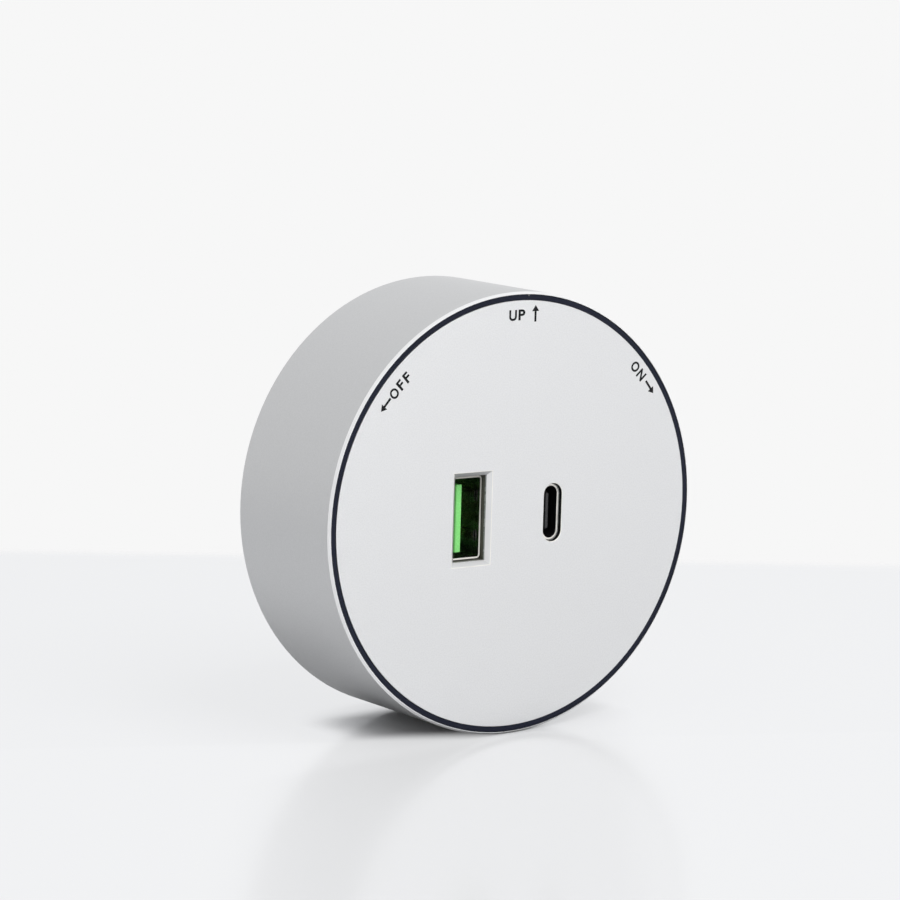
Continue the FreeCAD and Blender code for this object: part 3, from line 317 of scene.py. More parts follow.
def metal_finishes():
    """The ports' cans with their painted shade and highlights, the contacts, the screws and the coils."""
    return {
        "steel": finish(
            "nickel_plated_steel", (0.66, 0.65, 0.62), (0.74, 0.73, 0.70), rough=(0.16, 0.26),
            grain=0.15, height=0.003, blotch=2.0, metallic=1.0),
        # Painted shade: steel darkened for the inside of the USB-A can, its spring leaves and the nib.
        "shaded_steel": finish(
            "steel_painted_shade", (0.16, 0.16, 0.155), (0.24, 0.235, 0.23), rough=(0.24, 0.34),
            grain=0.2, height=0.006, blotch=1.5, metallic=1.0),
        # Painted highlight: a near-white, mostly matt edge for the face's fine chamfers and the USB-C can's
        # front edge.
        "highlight_edge": finish(
            "edge_painted_highlight", (0.90, 0.88, 0.82), (0.95, 0.93, 0.87), rough=(0.30, 0.38),
            grain=0.15, height=0.002, blotch=1.0, metallic=0.3),
        "contact_metal": finish(
            "plated_contact_metal", (0.80, 0.60, 0.27), (0.88, 0.68, 0.34), rough=(0.16, 0.26),
            grain=0.12, height=0.003, blotch=1.5, metallic=1.0),
        "copper_wire": wound_wire(
            "enamelled_copper_wire", (0.30, 0.07, 0.02), (0.72, 0.27, 0.10), pitch=0.4, axis="Z"),
        "can_edge": shaded_can_edge_material(),
    }


def plastic_finishes():
    """The ring, the moulded pieces, the tongues, the pad, and the painted shade on the walls of the
    openings.
    """
    return {
        "ring_plastic": finish(
            "dark_satin_ring", (0.005, 0.007, 0.017), (0.008, 0.010, 0.022), rough=(0.34, 0.42),
            grain=0.12, height=0.004, Specular_IOR_Level=0.18),
        "black_plastic": finish(
            "black_moulded_plastic", (0.015, 0.015, 0.017), (0.021, 0.021, 0.023), rough=(0.42, 0.58),
            grain=0.35, height=0.02),
        "white_plastic": finish(
            "white_moulded_plastic", (0.74, 0.73, 0.70), (0.79, 0.78, 0.75), rough=(0.35, 0.45),
            grain=0.3, height=0.01),
        "green_plastic": finish(
            "green_tongue_plastic", (0.215, 0.725, 0.18), (0.245, 0.76, 0.205), rough=(0.22, 0.30),
            grain=0.2, height=0.003),
        "tongue_black": finish(
            "glossy_black_tongue", (0.020, 0.020, 0.022), (0.028, 0.028, 0.030), rough=(0.20, 0.28),
            grain=0.2, height=0.003, blotch=0.8),
        "pad_rubber": finish(
            "soft_rubber", (0.020, 0.020, 0.021), (0.028, 0.028, 0.029), rough=(0.68, 0.82),
            grain=0.25, height=0.03, blotch=3.0),
        # Painted shade: dark walls for the window, and black walls for the slot and the USB-C can in it.
        "window_wall_shade": finish(
            "dark_window_wall_shade", (0.100, 0.102, 0.083), (0.125, 0.127, 0.105), rough=(0.40, 0.52),
            grain=0.15, height=0.004, Specular_IOR_Level=0.2),
        "slot_wall_shade": finish(
            "black_slot_wall_shade", (0.004, 0.004, 0.005), (0.007, 0.007, 0.008), rough=(0.50, 0.60),
            grain=0.15, height=0.004, Specular_IOR_Level=0.08),
        "ink": finish(
            "printed_black_ink", (0.004, 0.004, 0.005), (0.008, 0.008, 0.009), rough=(0.55, 0.70),
            grain=0.15, height=0.001, blotch=0.5, Specular_IOR_Level=0.2),
    }


def electronics_finishes():
    """The boards, what stands on them, the films and the leads."""
    made = {
        "board_laminate": finish(
            "green_board_laminate", (0.012, 0.085, 0.035), (0.018, 0.115, 0.048), rough=(0.28, 0.36),
            grain=0.4, height=0.004, blotch=1.0),
        "ferrite": finish(
            "grey_ferrite", (0.035, 0.034, 0.035), (0.055, 0.054, 0.055), rough=(0.55, 0.75),
            grain=0.15, height=0.02, blotch=1.2),
        "ceramic": finish(
            "fired_ceramic", (0.55, 0.50, 0.42), (0.63, 0.58, 0.50), rough=(0.45, 0.60),
            grain=0.2, height=0.01, blotch=1.5),
        "capacitor_sleeve": finish(
            "capacitor_sleeve", (0.010, 0.011, 0.016), (0.018, 0.019, 0.026), rough=(0.20, 0.30),
            grain=0.8, height=0.006, blotch=3.0),
        "yellow_film": finish(
            "yellow_film", (0.72, 0.50, 0.06), (0.78, 0.56, 0.09), rough=(0.22, 0.34),
            grain=0.8, height=0.01, blotch=3.0),
        "blue_coating": finish(
            "blue_coating", (0.02, 0.07, 0.30), (0.03, 0.10, 0.38), rough=(0.25, 0.36),
            grain=0.5, height=0.02, blotch=2.0),
        "clear_film": finish(
            "milky_insulation_film", (0.66, 0.68, 0.70), (0.72, 0.74, 0.76), rough=(0.20, 0.32),
            grain=1.0, height=0.01, Transmission_Weight=0.35),
    }
    for colour, low, high in (
        ("brown", (0.085, 0.032, 0.012), (0.115, 0.045, 0.018)),
        ("blue", (0.012, 0.055, 0.26), (0.018, 0.080, 0.33)),
        ("green", (0.11, 0.26, 0.02), (0.15, 0.33, 0.03)),
    ):
        made[colour + "_insulation"] = finish(
            colour + "_wire_insulation", low, high, rough=(0.36, 0.46), grain=0.3, height=0.006, blotch=2.0)
    return made


def wound_wire(name, low, high, pitch, axis):
    """Enamelled wire, whose turns lie side by side along an axis."""
    material, tree, shader = start_material(name, metallic=0.85, roughness=0.3, Coat_Weight=0.4)
    turns = bands(tree, pitch, axis)
    vary_colour(tree, shader, turns, low, high, start=0.1, end=0.9)
    raise_bumps(tree, shader, turns, pitch / 3)
    return material


def shaded_can_edge_material():
    """The rolled front edge of the USB-A can, with painted shade: darker towards the top, which the
    window's top shades.
    """
    bottom, top = -7, 5
    material, tree, shader = start_material("rolled_can_edge_painted_shade", metallic=0.3, roughness=0.34)
    height = fade_along(tree, (0, 0, 1), bottom, top)
    # Painted shade: pale at the bottom of the edge, dark at its top.
    vary_colour(tree, shader, height, (0.92, 0.90, 0.84), (0.47, 0.46, 0.42), start=0.0, end=1.0)
    raise_bumps(tree, shader, noise(tree, size=0.15), height=0.002)
    return material


# The table's material

def matt_table(tree, seen, openness):
    """The matt white. Close under the puck its colour carries painted shade: it is dimmer there, and lights
    the puck less still.
    """
    least_seen = 0.8
    cloud_width = 60
    clouds = noise(tree, cloud_width)
    white = colour_between(tree, clouds, (0.785, 0.79, 0.80), (0.805, 0.81, 0.82), 0.0, 1.0)
    least = add_node(tree, "ShaderNodeMath", {1: least_seen}, operation="MULTIPLY")
    tree.links.new(seen, least.inputs[0])
    # Painted shade: the colour darkens with the puck's nearness, to no less than 0.8 as the camera sees it,
    # and down to black in the light it throws back.
    shade_factor = add_node(tree, "ShaderNodeMapRange")
    tree.links.new(openness, shade_factor.inputs["Value"])
    tree.links.new(least.outputs[0], shade_factor.inputs["To Min"])
    shaded_white = add_node(tree, "ShaderNodeVectorMath", operation="SCALE")
    tree.links.new(white, shaded_white.inputs[0])
    tree.links.new(shade_factor.outputs["Result"], shaded_white.inputs["Scale"])
    matt = add_node(tree, "ShaderNodeBsdfDiffuse")
    tree.links.new(shaded_white.outputs["Vector"], matt.inputs["Color"])
    return matt.outputs[0]


def pale_table(tree):
    """The white that the picture's table shows, with painted shade in front of the puck."""
    darkest_shade = 0.945
    aside = table_axes()[2]
    # The painted shade lies in front of the puck, between a line on its right and one on its left.
    shade_patch = fade_along(tree, -aside, -37, -27)
    for direction, start, end in ((aside, -30, -8), (Vector((0, -1, 0)), 24, 31)):
        shade_patch = combine(tree, "MULTIPLY", shade_patch, fade_along(tree, direction, start, end))
    pale = add_node(tree, "ShaderNodeEmission", {"Color": (0.885, 0.89, 0.90, 1)})
    tree.links.new(map_range(tree, shade_patch, (0.0, 1.0), (1.0, darkest_shade)), pale.inputs["Strength"])
    return pale.outputs[0]


def table_whiteness(tree, openness):
    """How much of the pale white shows: least in the shadow close under the puck."""
    shaded, clear = 0.28, 0.95
    most_near = 0.84
    share = map_range(tree, openness, (shaded, clear), (0.0, most_near), "SMOOTHSTEP")
    for direction, start, end, most in WHITE_SIDES:
        share = combine(tree, "MAXIMUM", share, fade_along(tree, direction, start, end, most))
    return share


def table_end(tree):
    """Rises to 1 at the table's far end, which fades into the background, as in the picture."""
    ground, forward, aside = table_axes()
    slanted = forward + FADE_SLANT * aside
    under_camera = ground.dot(slanted) / MM
    return fade_along(tree, slanted, under_camera + FADE_START, under_camera + FADE_END)


def table_material():
    """A white table top with a weak, slightly blurred mirror image in it."""
    mirror_share = 0.15
    material = bpy.data.materials.new("glossy_white_table")
    material.use_nodes = True
    tree = material.node_tree
    tree.nodes.clear()
    seen = add_node(tree, "ShaderNodeLightPath").outputs["Is Camera Ray"]
    nearness = add_node(tree, "ShaderNodeAmbientOcclusion", {"Distance": CLOSE_SHADOW * MM}, samples=8)
    openness = nearness.outputs["AO"]
    whitened = combine(tree, "MULTIPLY", table_whiteness(tree, openness), seen)
    top = mix(tree, whitened, matt_table(tree, seen, openness), pale_table(tree))
    mirror = add_node(tree, "ShaderNodeBsdfGlossy", {"Color": (0.97, 0.98, 1, 1), "Roughness": 0.18})
    glossed = add_node(tree, "ShaderNodeMixShader", {0: mirror_share})
    tree.links.new(top, glossed.inputs[1])
    tree.links.new(mirror.outputs[0], glossed.inputs[2])
    ended = combine(tree, "MULTIPLY", table_end(tree), seen)
    clear = add_node(tree, "ShaderNodeBsdfTransparent")
    out = add_node(tree, "ShaderNodeOutputMaterial")
    tree.links.new(mix(tree, ended, glossed.outputs[0], clear.outputs[0]), out.inputs["Surface"])
    return material


# Pieces

def new_piece(name, mesh, body, material):
    piece = bpy.data.objects.new(name, mesh)
    mesh.materials.clear()
    mesh.materials.append(material)
    scene.collection.objects.link(piece)
    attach(piece, body)
    return piece


def stand_in(node, name, mesh, material):
    """A piece that takes a node's place, on the node's body, with the given material."""
    bodies = frame["record"]["behaviour"]["bodies"]
    body = next(body for body, members in bodies.items() if node in members)
    piece = new_piece(name, mesh, body, material)
    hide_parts(node)
    return piece


def soften(piece, width, segments=2, angle=30):
    """Rounds a piece's sharp edges by a small width in millimetres."""
    bevel = piece.modifiers.new("softened_edges", "BEVEL")
    bevel.width = width * MM
    bevel.segments = segments
    bevel.limit_method = "ANGLE"
    bevel.angle_limit = math.radians(angle)
    bevel.harden_normals = False
    bevel.use_clamp_overlap = True
    normals = piece.modifiers.new("even_normals", "WEIGHTED_NORMAL")
    normals.keep_sharp = False


def repaint(piece, material, wanted):
    """Gives another material to the faces for which `wanted` holds."""
    piece.data.materials.append(material)
    index = len(piece.data.materials) - 1
    for face in piece.data.polygons:
        if wanted(face):
            face.material_index = index


# Working meshes

JOINED_WITHIN = 0.0005 * MM
HAIR = 0.001 * MM


def write_mesh(work, name):
    """Writes a working mesh out and frees it."""
    mesh = bpy.data.meshes.new(name)
    work.to_mesh(mesh)
    work.free()
    return mesh


def shade_smooth(mesh, sharp_angle):
    for face in mesh.polygons:
        face.use_smooth = True
    mesh.set_sharp_from_angle(angle=math.radians(sharp_angle))


def mesh_from(work, name):
    """Closes a working mesh: joins its doubles, turns its faces outwards and shades it smooth."""
    bmesh.ops.remove_doubles(work, verts=work.verts, dist=JOINED_WITHIN)
    bmesh.ops.recalc_face_normals(work, faces=work.faces)
    mesh = write_mesh(work, name)
    shade_smooth(mesh, sharp_angle=35)
    return mesh


def join_rings(work, first, second):
    """Adds the faces between two rings of equally many corners."""
    for i in range(len(first)):
        j = (i + 1) % len(first)
        work.faces.new((first[i], first[j], second[j], second[i]))


def lathe(name, profile, steps=192):
    """Turns a closed profile of (radius, y) points, in millimetres, round the Y axis."""
    work = bmesh.new()
    rings = []
    for i in range(steps):
        angle = math.tau * i / steps
        rings.append([work.verts.new((r * math.sin(angle) * MM, y * MM, r * math.cos(angle) * MM))
                      for r, y in profile])
    for i in range(steps):
        join_rings(work, rings[i], rings[(i + 1) % steps])
    return mesh_from(work, name)


def bar_into(work, low, high, rounding, segments=2):
    """Adds a bar between two corners in millimetres, its edges rounded."""
    low, high = Vector(low), Vector(high)
    corners = bmesh.ops.create_cube(work, size=1.0)["verts"]
    for vertex in corners:
        for i in range(3):
            middle, size = (low[i] + high[i]) / 2, high[i] - low[i]
            vertex.co[i] = (middle + vertex.co[i] * size) * MM
    edges = list({e for v in corners for e in v.link_edges})
    bmesh.ops.bevel(work, geom=edges, offset=rounding * MM, segments=segments, affect="EDGES", profile=0.5)


def strip_into(work, path, thickness, low, high):
    """Adds a strip bent along a path of (x, y) points, from z = low to z = high, in millimetres."""
    left, right = [], []
    for i, point in enumerate(path):
        before, after = Vector(path[max(i - 1, 0)]), Vector(path[min(i + 1, len(path) - 1)])
        along = (after - before).normalized()
        aside = Vector((-along.y, along.x)) * thickness / 2
        left.append(Vector(point) + aside)
        right.append(Vector(point) - aside)
    outline = left + right[::-1]
    ends = [[work.verts.new((p.x * MM, p.y * MM, z * MM)) for p in outline] for z in (low, high)]
    join_rings(work, *ends)
    last = len(outline) - 1
    for end in ends:
        for i in range(len(path) - 1):
            work.faces.new((end[i], end[i + 1], end[last - 1 - i], end[last - i]))


# Nodes dressed with rounded edges

def merged_mesh(node, name, whole_flats):
    """A copy of a node's mesh, its triangles joined; `whole_flats` makes its flat areas whole."""
    work = bmesh.new()
    work.from_mesh(frame["nodes"][node].data)
    bmesh.ops.remove_doubles(work, verts=work.verts, dist=JOINED_WITHIN)
    if whole_flats:
        flat = math.radians(0.4)
        bmesh.ops.dissolve_limit(work, angle_limit=flat, verts=work.verts, edges=work.edges)
    mesh = write_mesh(work, name)
    shade_smooth(mesh, sharp_angle=30)
    return mesh


def dress(node, name, width, materials):
    """Puts a piece with edges rounded by `width` millimetres in a node's place."""
    # The guide plate's flat back keeps its triangles: made whole, it would be filled across the bore.
    mesh = merged_mesh(node, name, node != "guide_plate")
    if node == "face_plate":
        lower_front(mesh, INK_HEIGHT * MM)
        chamfer_openings(mesh, slot_width=0.09, window_width=0.05)
    if node == "usb_a_tongue":
        shape_tongue(mesh)
    piece = stand_in(node, name, mesh, materials[SLOT_OF_NODE[node]])
    soften(piece, width)
    return piece


def lower_front(mesh, depth):
    """Sinks a front face by a hair, so that what is printed on it stays in its box."""
    front = min(v.co.y for v in mesh.vertices)
    for vertex in mesh.vertices:
        if vertex.co.y < front + depth:
            vertex.co.y = front + depth


# Both openings of the face lie within this radius: the window on its left, the slot on its right.
OPENINGS_RADIUS = 20 * MM


def chamfer_openings(mesh, slot_width, window_width):
    """Cuts small chamfers round the face's two openings, their widths in millimetres."""
    front = min(v.co.y for v in mesh.vertices) + HAIR
    work = bmesh.new()
    work.from_mesh(mesh)
    for side, width in ((1, slot_width), (-1, window_width)):
        edges = [e for e in work.edges if all(
            v.co.y < front and v.co.x * side > 0 and v.co.xz.length < OPENINGS_RADIUS for v in e.verts)]
        bmesh.ops.bevel(work, geom=edges, offset=width * MM, segments=1, affect="EDGES", profile=0.5)
    work.to_mesh(mesh)
    work.free()


def shape_tongue(mesh):
    """Lowers the USB-A tongue's top edge and cuts back the left of its tip, as in the photograph."""
    tip_depth = 0.4 * MM
    tip_width = 0.82 * MM
    cut_depth = 1.6 * MM
    margin = 0.05 * MM
    blade_depth = 9 * MM
    top_from, top_to = 5.2 * MM, 5.6 * MM
    lowered_top = 5.02 * MM
    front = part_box("usb_a_tongue")[0].y
    tip = front + tip_depth
    step = min(v.co.x for v in mesh.vertices if v.co.y < tip) + tip_width
    for vertex in mesh.vertices:
        if vertex.co.y < front + blade_depth and top_from < vertex.co.z < top_to:
            vertex.co.z = lowered_top
    work = bmesh.new()
    work.from_mesh(mesh)
    near_tip = [f for f in work.faces if min(v.co.y for v in f.verts) < tip]
    geometry = near_tip + [e for f in near_tip for e in f.edges] + [v for f in near_tip for v in f.verts]
    geometry = list(dict.fromkeys(geometry))
    bmesh.ops.bisect_plane(work, geom=geometry, plane_co=(step, 0, 0), plane_no=(1, 0, 0))
    for vertex in work.verts:
        if vertex.co.y < tip and vertex.co.x < step - margin:
            vertex.co.y += cut_depth
    work.to_mesh(mesh)
    work.free()


# Repeats by geometry nodes

def repeat_tree(name, turned):
    """Repeats a unit along a line, or round the Y axis where `turned` is true."""
    tree = bpy.data.node_groups.new(name, "GeometryNodeTree")
    sockets = {}
    for label, kind in (
        ("Unit", "NodeSocketObject"), ("Count", "NodeSocketInt"), ("Step", "NodeSocketVector"),
        ("Finish", "NodeSocketMaterial"),
    ):
        sockets[label] = tree.interface.new_socket(label, in_out="INPUT", socket_type=kind).identifier
    tree.interface.new_socket("Geometry", in_out="OUTPUT", socket_type="NodeSocketGeometry")
    given = tree.nodes.new("NodeGroupInput")
    result = tree.nodes.new("NodeGroupOutput")
    unit = add_node(tree, "GeometryNodeObjectInfo")
    points = add_node(tree, "GeometryNodeMeshLine")
    placed = add_node(tree, "GeometryNodeInstanceOnPoints")
    whole = add_node(tree, "GeometryNodeRealizeInstances")
    painted = add_node(tree, "GeometryNodeSetMaterial")
    link = tree.links.new
    link(given.outputs["Unit"], unit.inputs["Object"])
    link(given.outputs["Count"], points.inputs["Count"])
    link(points.outputs["Mesh"], placed.inputs["Points"])
    link(unit.outputs["Geometry"], placed.inputs["Instance"])
    if turned:
        points.inputs["Offset"].default_value = (0, 0, 0)
        index = add_node(tree, "GeometryNodeInputIndex")
        turn = add_node(tree, "ShaderNodeVectorMath", operation="SCALE")
        link(given.outputs["Step"], turn.inputs[0])
        link(index.outputs["Index"], turn.inputs["Scale"])
        link(turn.outputs["Vector"], placed.inputs["Rotation"])
    else:
        link(given.outputs["Step"], points.inputs["Offset"])
    link(placed.outputs["Instances"], whole.inputs["Geometry"])
    link(whole.outputs["Geometry"], painted.inputs["Geometry"])
    link(given.outputs["Finish"], painted.inputs["Material"])
    link(painted.outputs["Geometry"], result.inputs["Geometry"])
    return tree, sockets


def repeat(name, unit_mesh, count, step, material, turned=False):
    """The mesh of a unit repeated: `step` is millimetres along a line, or radians about each axis."""
    tree, sockets = repeat_tree(name + "_tree", turned)
    unit = bpy.data.objects.new(name + "_unit", unit_mesh)
    host = bpy.data.objects.new(name + "_host", bpy.data.meshes.new(name + "_host"))
    scene.collection.objects.link(unit)
    scene.collection.objects.link(host)
    modifier = host.modifiers.new("repeat", "NODES")
    modifier.node_group = tree
    modifier[sockets["Unit"]] = unit
    modifier[sockets["Count"]] = count
    modifier[sockets["Step"]] = Vector(step) if turned else Vector(step) * MM
    modifier[sockets["Finish"]] = material
    bpy.context.view_layer.update()
    mesh = bpy.data.meshes.new_from_object(host.evaluated_get(bpy.context.evaluated_depsgraph_get()))
    mesh.name = name
    bpy.data.objects.remove(host)
    bpy.data.objects.remove(unit)
    return mesh


# Pieces with more form than their solids, in millimetres

def box_in_mm(node):
    """The lowest and highest corners of a node."""
    low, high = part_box(node)
    return low / MM, high / MM


def add_grip_ribs(materials):
    """Low moulded ribs round the rim of the guide plate, outside the pad."""
    count = 90
    # The guide plate's flat back lies a little in front of the seat.
    plate_back = -0.4
    half_width = 0.28
    length = 2.3
    rise = 0.22
    sunk = 0.1
    from_rim = 0.7
    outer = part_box("guide_plate")[1].x / MM - from_rim
    low = (-half_width, plate_back - sunk, outer - length)
    high = (half_width, plate_back + rise, outer)
    work = bmesh.new()
    bar_into(work, low, high, rounding=0.1, segments=1)
    unit = mesh_from(work, "grip_rib")
    black = materials["black_plastic"]
    mesh = repeat("moulded_grip_ribs", unit, count, (0, math.tau / count, 0), black, turned=True)
    new_piece("moulded_grip_ribs", mesh, "base", black)


def add_seat_pad(materials):
    """The rubber ring, with round ridges that grip the track."""
    ridges = 6
    groove = 0.3
    worn = 0.05
    corner = 0.15
    shoulder = 0.2
    inner = 22.5
    low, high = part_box("seat_pad")
    front, back, outer = low.y / MM, high.y / MM, high.x / MM
    pitch = (outer - inner) / ridges
    profile = [(inner + corner, front), (outer - corner, front), (outer, front + corner),
               (outer, back - shoulder)]
    for i in range(ridges):
        edge = outer - i * pitch
        far_edge = edge - pitch
        # A ridge's flat top with its two worn corners, then the floor of the groove beside it.
        profile += [(edge - 0.12, back - worn), (edge - 0.25, back), (far_edge + 0.45, back),
                    (far_edge + 0.32, back - worn)]
        if i < ridges - 1:
            profile += [(far_edge + 0.24, back - groove), (far_edge + 0.04, back - groove)]
    profile += [(inner, back - shoulder), (inner, front + corner)]
    stand_in("seat_pad", "ridged_seat_pad", lathe("ridged_seat_pad", profile), materials["pad_rubber"])


def add_usb_c_contacts(materials):
    """Two rows of twelve thin gilt contacts on the tongue's faces."""
    per_row = 12
    pitch = 0.5
    blade = 0.7
    sunk = 0.06
    low, high = box_in_mm("usb_c_contacts")
    width = (high.z - low.z) - pitch * (per_row - 1)
    middle = (low.x + high.x) / 2
    work = bmesh.new()
    for side, outer in ((-1, low.x), (1, high.x)):
        inner = middle + side * (blade / 2 - sunk)
        near = (min(inner, outer), low.y, low.z)
        far = (max(inner, outer), high.y, low.z + width)
        bar_into(work, near, far, rounding=0.02, segments=1)
    unit = mesh_from(work, "usb_c_contact_pair")
    gilt = materials["contact_metal"]
    mesh = repeat("usb_c_gilt_contacts", unit, per_row, (0, 0, pitch), gilt)
    stand_in("usb_c_contacts", "usb_c_gilt_contacts", mesh, gilt)


def add_side_contact(node, name, side, materials):
    """A contact at one end of the key: crowned fingers that press against the track's rail."""
    fingers = 3
    gap = 0.3
    thickness = 0.4
    # A finger bows out by this much in its middle, and a sharpness under 1 makes the bow fuller.
    bow = 0.75
    sharpness = 0.7
    margin = 0.05
    steps = 12
    # The block that carries the fingers lies this far in from the contact's outer face.
    block_start = 1.15
    block_end = 2.3
    low, high = box_in_mm(node)
    outer = high.x if side > 0 else low.x
    width = (high.z - low.z - gap * (fingers - 1)) / fingers
    path = []
    for i in range(steps + 1):
        share = i / steps
        crown = math.sin(math.pi * share) ** sharpness
        x = outer - side * (thickness / 2 + bow * (1 - crown))
        path.append((x, low.y + margin + (high.y - low.y - 2 * margin) * share))
    work = bmesh.new()
    strip_into(work, path, thickness, low.z, low.z + width)
    unit = mesh_from(work, "contact_finger")
    gilt = materials["contact_metal"]
    mesh = repeat(name, unit, fingers, (0, 0, width + gap), gilt)
    work = bmesh.new()
    work.from_mesh(mesh)
    near, far = sorted((outer - side * block_start, outer - side * block_end))
    bar_into(work, (near, low.y, low.z), (far, high.y, high.z), rounding=0.15)
    piece = stand_in(node, name, mesh_from(work, name), gilt)
    soften(piece, width=0.06)


def add_spring_leaves(materials):
    """Bent leaves inside the USB-A can, which grip the plug."""
    wall = 0.3
    thickness = 0.14
    half_width = 0.85
    from_end = 3.4
    set_back = 0.9
    low, high = box_in_mm("usb_a_shell")
    front = low.y + set_back
    inner = high.x - wall
    # From the fixed end to the mouth: how far in from the can's wall, and how far behind the front.
    bend = ((0.08, 9.0), (0.12, 7.5), (0.34, 4.5), (0.50, 2.4), (0.52, 1.7), (0.40, 0.8), (0.24, 0.2))
    path = [(inner - inwards, front + behind) for inwards, behind in bend]
    work = bmesh.new()
    for middle in (low.z + from_end, high.z - from_end):
        strip_into(work, path, thickness, middle - half_width, middle + half_width)
    mesh = mesh_from(work, "usb_a_spring_leaves")
    # The leaves take the steel darkened by painted shade, as inside the can.
    new_piece("usb_a_spring_leaves", mesh, "module", materials["shaded_steel"])


def add_locating_nib(materials):
    """The shell's small nib that keys the dark ring at the top."""
    half_width = 0.11
    inner, outer = 34.28, 34.7
    proud = 0.02
    length = 0.6
    turned = 2.4
    ring_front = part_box("front_housing")[0].y / MM
    work = bmesh.new()
    low = (-half_width, ring_front - proud, inner)
    high = (half_width, ring_front + length, outer)
    bar_into(work, low, high, rounding=0.03, segments=1)
    mesh = mesh_from(work, "locating_nib")
    mesh.transform(Matrix.Rotation(math.radians(turned), 4, "Y"))
    # The nib takes the steel darkened by painted shade.
    new_piece("locating_nib", mesh, "module", materials["shaded_steel"])


def add_usb_c_tongue(materials):
    """The thin tongue, whose tip is narrower and rounded, on its base."""
    half_height = 3.345
    half_thickness = 0.35
    taper = 0.52
    slope = 0.9
    base_length = 1.1
    overlap = 0.1
    low, high = box_in_mm("usb_c_tongue")
    plate_low, plate_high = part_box("usb_c_mid_plate")
    middle = (plate_low.x + plate_high.x) / 2 / MM
    centre = (low.z + high.z) / 2
    base_front = high.y - base_length
    root = base_front + overlap
    outline = [
        (low.y + slope, centre - half_height), (low.y, centre - half_height + taper),
        (low.y, centre + half_height - taper), (low.y + slope, centre + half_height),
        (root, centre + half_height), (root, centre - half_height),
    ]
    work = bmesh.new()
    left, right = [[work.verts.new((x * MM, y * MM, z * MM)) for y, z in outline]
                   for x in (middle - half_thickness, middle + half_thickness)]
    work.faces.new(left)
    work.faces.new(right[::-1])
    join_rings(work, left, right)
    bar_into(work, (low.x, base_front, low.z), (high.x, high.y, high.z), rounding=0.08)
    mesh = mesh_from(work, "usb_c_black_tongue")
    piece = stand_in("usb_c_tongue", "usb_c_black_tongue", mesh, materials["tongue_black"])
    soften(piece, width=0.22, segments=3, angle=50)


# Printed marks, in millimetres

INK_HEIGHT = 0.01
CAP_HEIGHT = 1.7
STROKE = 0.38
ARROW_LENGTH = 2.6
HEAD_LENGTH = 0.95
UP_HEAD_WIDTH = 1.35
SIDE_HEAD_WIDTH = 1.3


def letter_mesh(character, width, height):
    """One letter of a plain sans face, as a thin plate centred on its own middle."""
    half_depth = 0.5
    curve = bpy.data.curves.new("letter", "FONT")
    curve.body = character
    curve.extrude = half_depth
    curve.offset = 0.032
    curve.resolution_u = 6
    shape = bpy.data.objects.new("letter", curve)
    mesh = bpy.data.meshes.new_from_object(shape)
    bpy.data.objects.remove(shape)
    bpy.data.curves.remove(curve)
    xs = [v.co.x for v in mesh.vertices]
    ys = [v.co.y for v in mesh.vertices]
    for vertex in mesh.vertices:
        vertex.co.x = ((vertex.co.x - min(xs)) / (max(xs) - min(xs)) - 0.5) * width * MM
        vertex.co.y = ((vertex.co.y - min(ys)) / (max(ys) - min(ys)) - 0.5) * height * MM
        vertex.co.z = (math.copysign(half_depth, vertex.co.z) + half_depth) * INK_HEIGHT * MM
    return mesh


def arrow_mesh(head_width):
    """An arrow that points up, as a thin plate centred on its own middle."""
    half, stem = head_width / 2, STROKE / 2
    top, neck = ARROW_LENGTH / 2, ARROW_LENGTH / 2 - HEAD_LENGTH
    outline = [(-stem, -top), (stem, -top), (stem, neck), (half, neck), (0, top), (-half, neck),
               (-stem, neck)]
    work = bmesh.new()
    lower, upper = [[work.verts.new((x * MM, y * MM, z * MM)) for x, y in outline] for z in (0, INK_HEIGHT)]
    work.faces.new(lower[::-1])
    work.faces.new(upper)
    join_rings(work, lower, upper)
    return write_mesh(work, "arrow")


def stand_on_face(mesh, angle, radius, front, turn=0.0):
    """Moves a mark to its clock angle on the front; `turn` turns it in its own place, clockwise."""
    place = math.radians(angle)
    facing = place + math.radians(turn)
    across = Vector((math.cos(facing), 0, -math.sin(facing)))
    up = Vector((math.sin(facing), 0, math.cos(facing)))
    matrix = Matrix((across, up, Vector((0, -1, 0)))).transposed().to_4x4()
    matrix.translation = Vector((radius * math.sin(place) * MM, front, radius * math.cos(place) * MM))
    mesh.transform(matrix)
    return mesh


